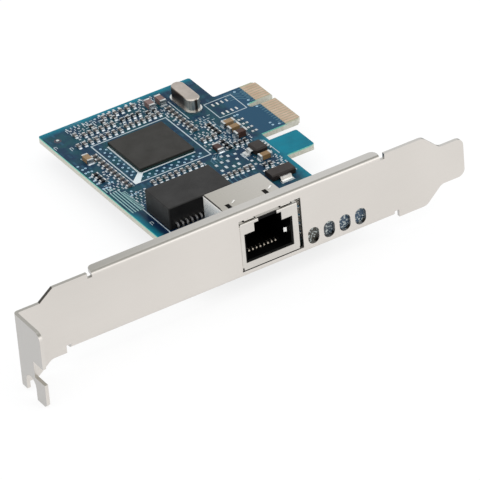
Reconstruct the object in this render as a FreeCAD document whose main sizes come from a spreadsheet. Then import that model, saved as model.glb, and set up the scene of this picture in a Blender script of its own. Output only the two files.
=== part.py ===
"""Network interface card: a one-lane PCI Express card on a full-height folded bracket.

Drawing axes, in millimetres: X runs along the bracket from the outer face of its mounting tab,
Y runs back from the bracket's outer face, and Z runs up from the bracket's lower edge. The
component side of the board faces up. Every finished piece then gets one Placement, which
puts the origin under the middle of the whole card.
"""
import FreeCAD, Part
import os
import re

import Sketcher
from FreeCAD import Vector

doc = FreeCAD.newDocument("network_interface_card")
sheet = doc.addObject("Spreadsheet::Sheet", "Sizes")

SIZES = {
    # bracket: folded sheet steel
    "bracket_length": 120.02,
    "bracket_width": 18.42,
    "sheet_thick": 0.86,
    "fold_radius": 1.1,
    "inner_fold_radius": 0.3,
    "neck_drop": 2.77,
    "neck_foot": 3.3,
    "neck_end": 6.5,
    "left_shoulder": 10.07,
    "foot_curve_start": 4.0,
    "foot_curve_end": 8.0,
    "shoulder_run": 4.4,
    "tongue_length": 6.52,
    "tongue_width": 10.19,
    "tongue_corner": 1.9,
    "shoulder_round": 2.2,
    "tab_depth": 10.9,
    "tab_corner": 2.0,
    "outer_leg_drop": 4.0,
    "screw_slot_width": 4.42,
    "screw_slot_centre": 4.45,
    "screw_slot_arc_drop": 0.9,
    "tab_notch_low": 2.1,
    "tab_notch_high": 6.4,
    "tab_notch_depth": 4.25,
    "leg_corner": 0.9,
    "top_fold_start": 20.3,
    "top_fold_margin": 22.72,
    "top_fold_depth": 2.8,
    "low_fold_start": 13.2,
    "low_fold_margin": 19.72,
    "low_fold_depth": 3.0,
    "fold_corner": 1.5,
    "relief_width": 1.2,
    "relief_depth": 1.3,
    "ear_width": 6.5,
    "ear_reach": 11.6,
    "left_ear_inset": 4.0,
    "right_ear_inset": 4.7,
    "ear_hole_y": 8.4,
    "screw_radius": 1.45,
    "thread_gap": 0.05,
    "screw_head_radius": 2.7,
    "screw_head_height": 1.7,
    "screw_length": 4.0,
    # board
    "board_top": 3.08,
    "board_thick": 1.57,
    "board_to_tongue_end": 27.32,
    "board_width": 42.3,
    "board_front": 1.9,
    "board_rear": 78.9,
    "key_centre": 59.05,
    "key_width": 1.9,
    "key_depth": 7.4,
    "front_contact_span": 11.65,
    "rear_contact_span": 7.65,
    "finger_reach": 11.9,
    "finger_slot_width": 3.57,
    "finger_slot_root": 0.3,
    "blank_tab_reach": 7.9,
    "blank_tab_width": 8.1,
    "contact_pitch": 1.0,
    "contact_width": 0.7,
    "contact_length": 4.1,
    "contact_setback": 0.45,
    "copper_thick": 0.04,
    "edge_bevel": 0.4,
    "finger_corner": 1.3,
    "hole_gap": 0.15,
    # network socket
    "jack_inset": 8.6,
    "jack_width": 15.6,
    "jack_depth": 16.2,
    "jack_headroom": 3.47,
    "jack_lip": 2.5,
    "jack_sheet": 0.3,
    "jack_bend": 0.35,
    "window_left_gap": 0.2,
    "window_right_gap": 0.8,
    "window_low": 2.2,
    "window_headroom": 2.52,
    "mouth_inset": 1.0,
    "mouth_width": 12.9,
    "mouth_low": 4.25,
    "mouth_headroom": 2.95,
    "latch_width": 7.35,
    "latch_headroom": 0.75,
    "latch_slit_width": 5.0,
    "latch_slit_depth": 0.6,
    "cavity_inset": 0.45,
    "cavity_depth": 12.6,
    "wire_count": 8,
    "wire_pitch": 1.02,
    "wire_width": 0.45,
    "wire_thick": 0.35,
    "wire_gap": 0.1,
    "wire_bend_y": 3.4,
    "wire_end_y": 9.4,
    "wire_end_z": 6.9,
    "pin_row_front": 10.4,
    "pin_row_rear": 12.9,
    "pin_drop": 0.9,
    "peg_radius": 1.55,
    "peg_spacing": 11.43,
    "peg_y": 6.4,
    "shield_leg_y": 9.7,
    "shield_leg_width": 1.6,
    "spring_width": 2.6,
    "spring_slit": 0.4,
    "spring_rise": 0.75,
    "left_spring_inset": 3.0,
    "right_spring_inset": 12.8,
    "spring_root": 6.0,
    "spring_peak": 1.5,
    "spring_tip": 0.5,
    "top_hole_width": 1.1,
    "top_hole_length": 2.1,
    "top_hole_y": 8.3,
    "left_hole_inset": 2.3,
    "right_hole_inset": 12.2,
    # isolation transformer beside the socket
    "magnetics_inset": 3.7,
    "magnetics_length": 17.4,
    "magnetics_front": 24.0,
    "magnetics_width": 10.8,
    "magnetics_height": 6.0,
    "magnetics_standoff": 0.15,
    "magnetics_bevel": 0.2,
    "magnetics_lead_pitch": 1.27,
    "magnetics_leads_a_side": 12,
    "magnetics_lead_width": 0.45,
    "lead_thick": 0.25,
    # main controller
    "controller_inset": 18.5,
    "controller_y": 57.2,
    "controller_side": 15.0,
    "ball_height": 0.3,
    "substrate_thick": 0.26,
    "mould_thick": 0.6,
    "ball_pitch": 1.0,
    "ball_radius": 0.27,
    "balls_a_side": 14,
    # crystal
    "crystal_inset": 35.6,
    "crystal_to_rear": 9.7,
    "crystal_length": 11.0,
    "crystal_width": 4.4,
    "crystal_rim": 0.45,
    "crystal_rim_thick": 0.45,
    "crystal_height": 3.75,
    "crystal_lead_spacing": 4.88,
    "crystal_lead_radius": 0.22,
    # supply parts
    "regulator_inset": 36.65,
    "regulator_y": 28.45,
    "regulator_length": 6.4,
    "regulator_width": 3.5,
    "regulator_height": 1.6,
    "regulator_tab_width": 3.0,
    "regulator_lead_width": 0.7,
    "regulator_lead_pitch": 2.3,
    "transistor_inset": 38.15,
    "transistor_y": 40.85,
    "transistor_length": 4.0,
    "transistor_width": 3.4,
    "transistor_height": 1.6,
    "transistor_tab_width": 1.9,
    "transistor_lead_width": 0.45,
    "transistor_lead_pitch": 1.45,
    # chip parts
    "large_chip_length": 3.2,
    "large_chip_width": 1.6,
    "large_chip_height": 1.25,
    "small_chip_length": 1.6,
    "small_chip_width": 0.8,
    "small_chip_height": 0.55,
    "chip_end": 0.32,
    # indicators and their slots in the bracket
    "indicator_count": 4,
    "indicator_gap": 3.6,
    "indicator_pitch": 4.27,
    "indicator_z": 4.4,
    "indicator_slot_width": 3.0,
    "indicator_slot_height": 4.3,
    "indicator_setback": 1.05,
    "indicator_length": 2.4,
    "indicator_depth": 1.3,
    "indicator_base": 0.5,
    "indicator_dome": 1.35,
    # printed legend
    "ink_thick": 0.03,
    "ink_width": 0.3,
    "frame_side": 21.0,
    "frame_inset": 18.05,
    "frame_y": 56.6,
    "footprint_side": 7.7,
}

# Places that follow from the sizes above
PLACES = {
    "tongue_start": "bracket_length - tongue_length",
    "right_shoulder": "tongue_start - shoulder_run",
    "tongue_low": "(bracket_width - tongue_width) / 2",
    "tongue_high": "(bracket_width + tongue_width) / 2",
    "top_fold_end": "bracket_length - top_fold_margin",
    "low_fold_end": "bracket_length - low_fold_margin",
    "board_low": "board_top - board_thick",
    "fold_low": "board_low - sheet_thick",
    "board_right": "bracket_length - board_to_tongue_end",
    "board_left": "board_right - board_width",
    "left_ear_x": "board_left + left_ear_inset",
    "right_ear_x": "board_right - right_ear_inset",
    "finger_tip": "board_right + finger_reach",
    "finger_slot_end": "board_right + finger_slot_root",
    "finger_front": "key_centre - key_width / 2 - front_contact_span",
    "finger_rear": "key_centre + key_width / 2 + rear_contact_span",
    "blank_tab_tip": "board_right + blank_tab_reach",
    "blank_rear": "finger_front - finger_slot_width",
    "blank_front": "blank_rear - blank_tab_width",
    "jack_left": "board_left + jack_inset",
    "jack_right": "jack_left + jack_width",
    "jack_top": "bracket_width - jack_headroom",
    "window_high": "bracket_width - window_headroom",
    "mouth_left": "jack_left + mouth_inset",
    "mouth_high": "jack_top - mouth_headroom",
    "latch_left": "mouth_left + (mouth_width - latch_width) / 2",
    "wire_first_x": "mouth_left + mouth_width / 2 - wire_pitch * (wire_count - 1) / 2",
    "latch_high": "jack_top - latch_headroom",
    "left_spring_x": "jack_left + left_spring_inset",
    "right_spring_x": "jack_left + right_spring_inset",
    "left_hole_x": "jack_left + left_hole_inset",
    "right_hole_x": "jack_left + right_hole_inset",
    "magnetics_left": "board_left + magnetics_inset",
    "controller_x": "board_left + controller_inset",
    "crystal_x": "board_left + crystal_inset",
    "crystal_y": "board_rear - crystal_to_rear",
    "regulator_x": "board_left + regulator_inset",
    "transistor_x": "board_left + transistor_inset",
    "indicator_first_x": "jack_right + indicator_gap",
    "indicator_y": "board_front + indicator_setback",
    "frame_x": "board_left + frame_inset",
}

for row, (name, value) in enumerate(SIZES.items(), start=1):
    sheet.set("A%d" % row, name)
    sheet.set("B%d" % row, str(value))
    sheet.setAlias("B%d" % row, name)
doc.recompute()


def bind(text):
    """Write every size and place named in an expression with references to the sheet's cells."""
    def reference(found):
        word = found[0]
        if word in PLACES:
            return "(" + bind(PLACES[word]) + ")"
        return "Sizes." + word if word in SIZES else word

    return re.sub(r"[a-z_]+", reference, text)


def size(text):
    """Value of an expression of sizes, in millimetres."""
    return float(sheet.evalExpression(bind(text)))


def body(label):
    """Start a sub-part made with sketches and features."""
    made = doc.addObject("PartDesign::Body", label)
    made.Label = label
    return made


def sketch(owner, plane, offset="0"):
    """Sketch on one of a body's own planes, moved along the plane's normal."""
    made = owner.newObject("Sketcher::SketchObject", owner.Name + "_sketch")
    base = [item for item in owner.Origin.OriginFeatures if item.Role == plane + "_Plane"][0]
    made.AttachmentSupport = [(base, "")]
    made.MapMode = "FlatFace"
    made.setExpression("AttachmentOffset.Base.z", bind(offset))
    return made


def tie(made, kind, element, point, text):
    """Hold a point of a sketch at a distance from the sketch's origin."""
    index = made.addConstraint(Sketcher.Constraint(kind, -1, 1, element, point, size(text)))
    made.setExpression("Constraints[%d]" % index, bind(text))


def outline(made, corners):
    """Closed outline of straight lines through corners given as expressions."""
    first = made.GeometryCount
    count = len(corners)
    places = [Vector(size(u), size(v), 0) for u, v in corners]
    for index in range(count):
        line = Part.LineSegment(places[index], places[(index + 1) % count])
        made.addGeometry(line, False)
    for index in range(count):
        after = first + (index + 1) % count
        made.addConstraint(Sketcher.Constraint("Coincident", first + index, 2, after, 1))
    for index, (u, v) in enumerate(corners):
        tie(made, "DistanceX", first + index, 1, u)
        tie(made, "DistanceY", first + index, 1, v)
    return made


def rectangle(made, low_u, low_v, high_u, high_v):
    """Closed rectangle between two corners given as expressions."""
    return outline(made, [(low_u, low_v), (high_u, low_v), (high_u, high_v), (low_u, high_v)])


def circle(made, u, v, radius):
    """Circle whose centre and radius are expressions."""
    element = made.GeometryCount
    ring = Part.Circle(Vector(size(u), size(v), 0), Vector(0, 0, 1), size(radius))
    made.addGeometry(ring, False)
    tie(made, "DistanceX", element, 3, u)
    tie(made, "DistanceY", element, 3, v)
    index = made.addConstraint(Sketcher.Constraint("Radius", element, size(radius)))
    made.setExpression("Constraints[%d]" % index, bind(radius))
    return made


def eight_sided(made, u, v, radius):
    """Small eight-sided hole whose centre and radius are expressions."""
    places = []
    for across, up in ((1, 0), (0.7071, 0.7071), (0, 1), (-0.7071, 0.7071),
                       (-1, 0), (-0.7071, -0.7071), (0, -1), (0.7071, -0.7071)):
        places.append(("%s + (%s) * (%s)" % (u, across, radius), "%s + (%s) * (%s)" % (v, up, radius)))
    return outline(made, places)


def obround(made, u, low, high, radius):
    """Upright slot with round ends, between two arc centres."""
    first = made.GeometryCount
    top = Vector(size(u), size(high), 0)
    bottom = Vector(size(u), size(low), 0)
    side = Vector(size(radius), 0, 0)
    turn = 3.141592653589793
    normal = Vector(0, 0, 1)
    made.addGeometry(Part.ArcOfCircle(Part.Circle(top, normal, size(radius)), 0, turn), False)
    made.addGeometry(Part.LineSegment(top - side, bottom - side), False)
    made.addGeometry(Part.ArcOfCircle(Part.Circle(bottom, normal, size(radius)), turn, 2 * turn), False)
    made.addGeometry(Part.LineSegment(bottom + side, top + side), False)
    for index in range(4):
        after = first + (index + 1) % 4
        made.addConstraint(Sketcher.Constraint("Tangent", first + index, 2, after, 1))
    for element, level in ((first, high), (first + 2, low)):
        tie(made, "DistanceX", element, 3, u)
        tie(made, "DistanceY", element, 3, level)
    made.addConstraint(Sketcher.Constraint("Equal", first, first + 2))
    index = made.addConstraint(Sketcher.Constraint("Radius", first, size(radius)))
    made.setExpression("Constraints[%d]" % index, bind(radius))
    return made


def pad(owner, profile, length, reverse=False):
    """Grow a sketch into the body."""
    made = owner.newObject("PartDesign::Pad", owner.Name + "_pad")
    made.Profile = profile
    made.setExpression("Length", bind(length))
    made.Reversed = reverse
    doc.recompute()
    return made


def pocket(owner, profile, length, reverse=False):
    """Cut a sketch out of the body, and stop if it cuts nothing."""
    before = owner.Shape.Volume
    made = owner.newObject("PartDesign::Pocket", owner.Name + "_pocket")
    made.Profile = profile
    made.setExpression("Length", bind(length))
    made.Reversed = reverse
    doc.recompute()
    if not owner.Shape.Volume < before - 1e-6:
        raise ValueError("%s cuts nothing" % made.Name)
    return made


def repeat(owner, feature, axis, pitch, count):
    """Repeat a feature along one of the body's own axes."""
    made = owner.newObject("PartDesign::LinearPattern", owner.Name + "_pattern")
    made.Originals = [feature]
    base = [item for item in owner.Origin.OriginFeatures if item.Role == axis + "_Axis"][0]
    made.Direction = (base, [""])
    made.setExpression("Length", bind("%s * (%s - 1)" % (pitch, count)))
    made.setExpression("Occurrences", bind(count))
    owner.Tip = made
    doc.recompute()
    return made


def soften(owner, kind, amount, wanted):
    """Fillet or chamfer the edges for which wanted(middle, length vector) is true."""
    names = []
    for number, edge in enumerate(owner.Shape.Edges, start=1):
        if len(edge.Vertexes) != 2:
            continue
        start = edge.Vertexes[0].Point
        end = edge.Vertexes[1].Point
        if wanted((start + end) * 0.5, end - start):
            names.append("Edge%d" % number)
    if not names:
        raise ValueError("%s has no edge to soften" % owner.Name)
    last = owner.Tip
    made = owner.newObject("PartDesign::" + kind, owner.Name + "_" + kind.lower())
    made.Base = (last, names)
    made.setExpression("Radius" if kind == "Fillet" else "Size", bind(amount))
    owner.Tip = made
    doc.recompute()
    return made


def near(value, *targets):
    """Whether a coordinate is at one of the places given as expressions."""
    return any(abs(value - size(target)) < 1e-3 for target in targets)


def group(label, solids):
    """Several separate solids of one kind as a single sub-part."""
    made = doc.addObject("Part::Feature", label)
    made.Label = label
    made.Shape = Part.makeCompound(solids)
    return made


def block(low, high):
    """Box between two corners."""
    span = high - low
    return Part.makeBox(span.x, span.y, span.z, low)


def post(foot, radius, sides, height):
    """Upright column with a few flat sides that stands on a point."""
    ring = []
    for corner in range(sides):
        turn = FreeCAD.Rotation(Vector(0, 0, 1), 360 * corner / sides)
        ring.append(foot + turn.multVec(Vector(radius, 0, 0)))
    return Part.Face(Part.makePolygon(ring + ring[:1])).extrude(Vector(0, 0, height))


def ribbon(corners, start, width, across_x=True):
    """Flat strip: a closed side outline carried sideways by its width."""
    if across_x:
        places = [Vector(start, u, v) for u, v in corners]
        travel = Vector(width, 0, 0)
    else:
        places = [Vector(u, start, v) for u, v in corners]
        travel = Vector(0, width, 0)
    return Part.Face(Part.makePolygon(places + places[:1])).extrude(travel)


# Bracket: one folded sheet with its mounting tab, stiffening folds and screw ears

def make_bracket():
    """Plate, tab and folds of the bracket, with the openings cut through it."""
    part = body("bracket")
    neck_top = "bracket_width - neck_drop"
    left_relief = "top_fold_start - relief_width"
    right_relief = "top_fold_end + relief_width"
    low_left_relief = "low_fold_start - relief_width"
    low_right_relief = "low_fold_end + relief_width"
    top_relief_floor = "bracket_width - relief_depth"
    low_relief_roof = "fold_low + relief_depth"
    plate = outline(sketch(part, "XZ"), [
        ("0", "-neck_foot"),
        ("foot_curve_start", "-neck_foot"),
        ("foot_curve_end", "0"),
        (low_left_relief, "0"),
        (low_left_relief, low_relief_roof),
        ("low_fold_start", low_relief_roof),
        ("low_fold_start", "fold_low"),
        ("low_fold_end", "fold_low"),
        ("low_fold_end", low_relief_roof),
        (low_right_relief, low_relief_roof),
        (low_right_relief, "0"),
        ("right_shoulder", "0"),
        ("tongue_start", "tongue_low"),
        ("bracket_length", "tongue_low"),
        ("bracket_length", "tongue_high"),
        ("tongue_start", "tongue_high"),
        ("right_shoulder", "bracket_width"),
        (right_relief, "bracket_width"),
        (right_relief, top_relief_floor),
        ("top_fold_end", top_relief_floor),
        ("top_fold_end", "bracket_width"),
        ("top_fold_start", "bracket_width"),
        ("top_fold_start", top_relief_floor),
        (left_relief, top_relief_floor),
        (left_relief, "bracket_width"),
        ("left_shoulder", "bracket_width"),
        ("neck_end", neck_top),
        ("0", neck_top),
    ])
    pad(part, plate, "sheet_thick", True)
    slot_side = "-screw_slot_centre"
    tab = outline(sketch(part, "YZ"), [
        ("sheet_thick", neck_top),
        ("sheet_thick", "-neck_foot"),
        (slot_side, "-neck_foot"),
        (slot_side, "-outer_leg_drop"),
        ("-tab_depth", "-outer_leg_drop"),
        ("-tab_depth", "tab_notch_low"),
        ("tab_notch_depth - tab_depth", "tab_notch_low"),
        ("tab_notch_depth - tab_depth", "tab_notch_high"),
        ("-tab_depth", "tab_notch_high"),
        ("-tab_depth", neck_top),
    ])
    pad(part, tab, "sheet_thick")
    top_fold = rectangle(sketch(part, "XY", "bracket_width - sheet_thick"),
                         "top_fold_start", "0", "top_fold_end", "top_fold_depth")
    pad(part, top_fold, "sheet_thick")
    low_fold = outline(sketch(part, "XY", "fold_low"), [
        ("low_fold_start", "0"),
        ("low_fold_end", "0"),
        ("low_fold_end", "low_fold_depth"),
        ("right_ear_x + ear_width / 2", "low_fold_depth"),
        ("right_ear_x + ear_width / 2", "ear_reach"),
        ("right_ear_x - ear_width / 2", "ear_reach"),
        ("right_ear_x - ear_width / 2", "low_fold_depth"),
        ("left_ear_x + ear_width / 2", "low_fold_depth"),
        ("left_ear_x + ear_width / 2", "ear_reach"),
        ("left_ear_x - ear_width / 2", "ear_reach"),
        ("left_ear_x - ear_width / 2", "low_fold_depth"),
        ("low_fold_start", "low_fold_depth"),
    ])
    pad(part, low_fold, "sheet_thick")
    soften(part, "Fillet", "fold_corner", lambda middle, run: (
        abs(run.z) > 0.5 and abs(run.x) < 1e-3 and near(middle.x, "top_fold_start", "top_fold_end",
                                                        "low_fold_start", "low_fold_end")
        and near(middle.y, "top_fold_depth", "low_fold_depth")))
    soften(part, "Fillet", "fold_radius", lambda middle, run: (
        abs(run.x) > 20 and near(middle.y, "0") and near(middle.z, "bracket_width", "fold_low")
        or abs(run.z) > 10 and near(middle.x, "0") and near(middle.y, "sheet_thick")))
    soften(part, "Fillet", "inner_fold_radius", lambda middle, run: (
        abs(run.z) > 10 and near(middle.x, "sheet_thick") and near(middle.y, "0")
        or abs(run.x) > 20 and near(middle.y, "sheet_thick")
        and near(middle.z, "bracket_width - sheet_thick", "fold_low + sheet_thick")))
    soften(part, "Fillet", "shoulder_round", lambda middle, run: (
        abs(run.y) > 0.5 and abs(run.x) < 1e-3 and abs(run.z) < 1e-3
        and near(middle.x, "right_shoulder", "tongue_start", "foot_curve_end", "foot_curve_start")))
    soften(part, "Fillet", "tongue_corner", lambda middle, run: (
        abs(run.y) > 0.5 and near(middle.x, "bracket_length")))
    soften(part, "Fillet", "tab_corner", lambda middle, run: (
        abs(run.x) > 0.5 and near(middle.y, "-tab_depth") and near(middle.z, neck_top)))
    soften(part, "Chamfer", "leg_corner", lambda middle, run: (
        abs(run.x) > 0.5 and near(middle.y, "-tab_depth") and near(middle.z, "-outer_leg_drop")))
    slot = obround(sketch(part, "YZ"), slot_side, "-2 * outer_leg_drop", "-screw_slot_arc_drop",
                   "screw_slot_width / 2")
    pocket(part, slot, "sheet_thick", True)
    window = rectangle(sketch(part, "XZ"), "jack_left - window_left_gap", "window_low",
                       "jack_right + window_right_gap", "window_high")
    pocket(part, window, "sheet_thick")
    light = obround(sketch(part, "XZ"), "indicator_first_x",
                    "indicator_z - (indicator_slot_height - indicator_slot_width) / 2",
                    "indicator_z + (indicator_slot_height - indicator_slot_width) / 2",
                    "indicator_slot_width / 2")
    repeat(part, pocket(part, light, "sheet_thick"), "X", "indicator_pitch", "indicator_count")
    holes = sketch(part, "XY", "fold_low")
    for ear in ("left_ear_x", "right_ear_x"):
        circle(holes, ear, "ear_hole_y", "screw_radius + thread_gap")
    pocket(part, holes, "sheet_thick", True)
    return part


# Screws that hold the board to the bracket's ears

def make_screws():
    """Two pan-headed cross-recess screws, each turned from one side outline."""
    reach = size("screw_length")
    head = size("screw_head_height")
    radius = size("screw_head_radius")
    top = size("board_top")
    recess = size("screw_head_height") * 0.6
    made = []
    for ear in ("left_ear_x", "right_ear_x"):
        centre = Vector(size(ear), size("ear_hole_y"), top)
        side = [
            Vector(0, 0, -reach),
            Vector(size("screw_radius"), 0, -reach),
            Vector(size("screw_radius"), 0, 0),
            Vector(radius, 0, 0),
            Vector(radius, 0, head * 0.5),
            Vector(radius * 0.7, 0, head),
            Vector(0, 0, head),
        ]
        profile = Part.Face(Part.makePolygon([centre + point for point in side + side[:1]]))
        screw = profile.revolve(centre, Vector(0, 0, 1), 360)
        for long_x, long_y in ((1.5, 0.32), (0.32, 1.5)):
            low = centre + Vector(-long_x, -long_y, head - recess)
            screw = screw.cut(block(low, centre + Vector(long_x, long_y, head)))
        made.append(screw)
    return group("bracket_screws", made)


# Circuit board: outline with the keyed edge, the slot beside it and the blank tab

def make_board():
    """Glass-fibre board with its holes and the bevelled, keyed card edge."""
    part = body("circuit_board")
    key_front = "key_centre - key_width / 2"
    key_rear = "key_centre + key_width / 2"
    plan = outline(sketch(part, "XY", "board_low"), [
        ("board_left", "board_front"),
        ("board_right", "board_front"),
        ("board_right", "blank_front"),
        ("blank_tab_tip", "blank_front"),
        ("blank_tab_tip", "blank_rear"),
        ("finger_slot_end", "blank_rear"),
        ("finger_slot_end", "finger_front"),
        ("finger_tip", "finger_front"),
        ("finger_tip", key_front),
        ("finger_tip - key_depth", key_front),
        ("finger_tip - key_depth", key_rear),
        ("finger_tip", key_rear),
        ("finger_tip", "finger_rear"),
        ("board_right", "finger_rear"),
        ("board_right", "board_rear"),
        ("board_left", "board_rear"),
    ])
    pad(part, plan, "board_thick")
    soften(part, "Chamfer", "edge_bevel", lambda middle, run: (
        abs(run.y) > 2 and near(middle.x, "finger_tip")))
    soften(part, "Chamfer", "finger_corner", lambda middle, run: (
        abs(run.z) > 0.5 and near(middle.x, "finger_tip") and near(middle.y, "finger_front", "finger_rear")))
    soften(part, "Fillet", "key_width * 0.49", lambda middle, run: (
        abs(run.z) > 0.5 and near(middle.x, "finger_tip - key_depth")))
    soften(part, "Fillet", "0.6", lambda middle, run: (
        abs(run.z) > 0.5 and (near(middle.x, "board_left") or near(middle.x, "board_right", "blank_tab_tip")
                              and not near(middle.y, "board_front"))))
    holes = sketch(part, "XY", "board_low")
    for ear in ("left_ear_x", "right_ear_x"):
        circle(holes, ear, "ear_hole_y", "screw_radius + hole_gap")
    for side in ("-", "+"):
        circle(holes, "jack_left + jack_width / 2 %s peg_spacing / 2" % side, "peg_y",
               "peg_radius + hole_gap")
        circle(holes, "crystal_x", "crystal_y %s crystal_lead_spacing / 2" % side,
               "crystal_lead_radius + hole_gap")
    for side in ("jack_left", "jack_right - jack_sheet"):
        rectangle(holes, side + " - hole_gap", "shield_leg_y - shield_leg_width / 2 - hole_gap",
                  side + " + jack_sheet + hole_gap", "shield_leg_y + shield_leg_width / 2 + hole_gap")
    for number in range(int(size("wire_count"))):
        row = "pin_row_front" if number % 2 else "pin_row_rear"
        eight_sided(holes, wire_centre(number), row, "wire_width / 2 + hole_gap * 1.5")
    pocket(part, holes, "board_thick", True)
    return part


def wire_centre(number):
    """Expression for the middle of one socket wire along the bracket."""
    return "wire_first_x + wire_pitch * %d" % number


# Gilt contacts of the card edge, eleven before the key and seven behind it

def make_edge_contacts(label, level):
    """Contact pads on one side of the card edge, with their lower face at a level."""
    pitch = size("contact_pitch")
    width = size("contact_width")
    tip = size("finger_tip - contact_setback")
    root = tip - size("contact_length")
    thick = size("copper_thick")
    front_first = size("key_centre - key_width / 2 - contact_pitch * 0.65")
    rear_first = size("key_centre + key_width / 2 + contact_pitch * 0.65")
    places = [front_first - pitch * number for number in range(11)]
    places += [rear_first + pitch * number for number in range(7)]
    pads = []
    for place in places:
        low = Vector(root, place - width / 2, level)
        pads.append(block(low, Vector(tip, place + width / 2, level + thick)))
    return group(label, pads)


# Network socket: folded shield, moulded housing and eight spring wires

def make_shield():
    """Plated shield with the plug mouth, grounding springs, latch holes and solder legs."""
    part = body("jack_shield")
    floor = "board_top + wire_gap / 2"
    shell = rectangle(sketch(part, "XY", floor), "jack_left", "0", "jack_right", "jack_depth")
    pad(part, shell, "jack_top - (%s)" % floor)
    soften(part, "Fillet", "jack_bend", lambda middle, run: (
        abs(run.z) > 2 or near(middle.z, "jack_top")))
    inside = rectangle(sketch(part, "XY", floor), "jack_left + jack_sheet", "jack_sheet",
                       "jack_right - jack_sheet", "jack_depth - jack_sheet")
    pocket(part, inside, "jack_top - jack_sheet - (%s)" % floor, True)
    lip = rectangle(sketch(part, "XZ"), "jack_left + jack_bend", "jack_lip",
                    "jack_right - jack_bend", "mouth_low")
    pad(part, lip, "jack_sheet", True)
    mouth = outline(sketch(part, "XZ"), [
        ("mouth_left", "mouth_low"),
        ("mouth_left + mouth_width", "mouth_low"),
        ("mouth_left + mouth_width", "mouth_high"),
        ("latch_left + latch_width", "mouth_high"),
        ("latch_left + latch_width", "latch_high"),
        ("latch_left", "latch_high"),
        ("latch_left", "mouth_high"),
        ("mouth_left", "mouth_high"),
    ])
    pocket(part, mouth, "jack_sheet")
    slit_left = "latch_left + (latch_width - latch_slit_width) / 2"
    slit = rectangle(sketch(part, "XZ"), slit_left, "latch_high - 0.1",
                     slit_left + " + latch_slit_width", "jack_top")
    pocket(part, slit, "latch_slit_depth")
    cuts = sketch(part, "XY", "jack_top")
    for spring in ("left_spring_x", "right_spring_x"):
        rectangle(cuts, spring + " - spring_width / 2 - spring_slit", "spring_tip",
                  spring + " + spring_width / 2 + spring_slit", "spring_root")
    for hole in ("left_hole_x", "right_hole_x"):
        rectangle(cuts, hole + " - top_hole_width / 2", "top_hole_y - top_hole_length / 2",
                  hole + " + top_hole_width / 2", "top_hole_y + top_hole_length / 2")
    pocket(part, cuts, "jack_sheet")
    for spring in ("left_spring_x", "right_spring_x"):
        side = outline(sketch(part, "YZ", spring + " - spring_width / 2"), [
            ("spring_root + jack_sheet", "jack_top - jack_sheet"),
            ("spring_root + jack_sheet", "jack_top"),
            ("spring_root", "jack_top"),
            ("spring_peak + 0.3", "jack_top + spring_rise"),
            ("spring_peak - 0.3", "jack_top + spring_rise"),
            ("spring_tip + 0.2", "jack_top + 0.1"),
            ("spring_tip + 0.4", "jack_top - 0.1"),
            ("spring_peak", "jack_top + spring_rise - jack_sheet"),
            ("spring_root", "jack_top - jack_sheet"),
        ])
        pad(part, side, "spring_width")
    legs = sketch(part, "XY", "board_low - pin_drop")
    for side in ("jack_left", "jack_right - jack_sheet"):
        rectangle(legs, side, "shield_leg_y - shield_leg_width / 2", side + " + jack_sheet",
                  "shield_leg_y + shield_leg_width / 2")
    pad(part, legs, "(%s) - board_low + pin_drop" % floor)
    return part


def make_housing():
    """Moulded insulator with the plug cavity, the wire comb and two locating pegs."""
    part = body("jack_housing")
    left = "jack_left + jack_sheet"
    right = "jack_right - jack_sheet"
    shell = rectangle(sketch(part, "XY", "board_top"), left, "jack_sheet", right,
                      "jack_depth - jack_sheet")
    pad(part, shell, "jack_top - jack_sheet - board_top")
    cavity = outline(sketch(part, "XZ", "-jack_sheet"), [
        ("mouth_left + cavity_inset", "mouth_low + cavity_inset"),
        ("mouth_left + mouth_width - cavity_inset", "mouth_low + cavity_inset"),
        ("mouth_left + mouth_width - cavity_inset", "mouth_high - cavity_inset"),
        ("latch_left + latch_width", "mouth_high - cavity_inset"),
        ("latch_left + latch_width", "latch_high"),
        ("latch_left", "latch_high"),
        ("latch_left", "mouth_high - cavity_inset"),
        ("mouth_left + cavity_inset", "mouth_high - cavity_inset"),
    ])
    pocket(part, cavity, "cavity_depth")
    comb_floor = "mouth_low + cavity_inset - wire_thick - 3 * wire_gap"
    half = "wire_width / 2 + wire_gap"
    slot = rectangle(sketch(part, "XY", comb_floor), "%s - (%s)" % (wire_centre(0), half),
                     "wire_bend_y - wire_thick", "%s + %s" % (wire_centre(0), half),
                     "pin_row_rear + wire_thick / 2 + wire_gap")
    cut = pocket(part, slot, "wire_thick + 3 * wire_gap", True)
    repeat(part, cut, "X", "wire_pitch", "wire_count")
    for parity, row in ((0, "pin_row_rear"), (1, "pin_row_front")):
        hole = rectangle(sketch(part, "XY", "board_top"), "%s - (%s)" % (wire_centre(parity), half),
                         row + " - wire_thick / 2 - wire_gap", "%s + %s" % (wire_centre(parity), half),
                         row + " + wire_thick / 2 + wire_gap")
        cut = pocket(part, hole, comb_floor + " - board_top", True)
        repeat(part, cut, "X", "wire_pitch * 2", "wire_count / 2")
    pegs = sketch(part, "XY", "board_low - pin_drop / 2")
    for side in ("-", "+"):
        circle(pegs, "jack_left + jack_width / 2 %s peg_spacing / 2" % side, "peg_y", "peg_radius")
    pad(part, pegs, "board_thick + pin_drop / 2")
    return part


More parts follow.
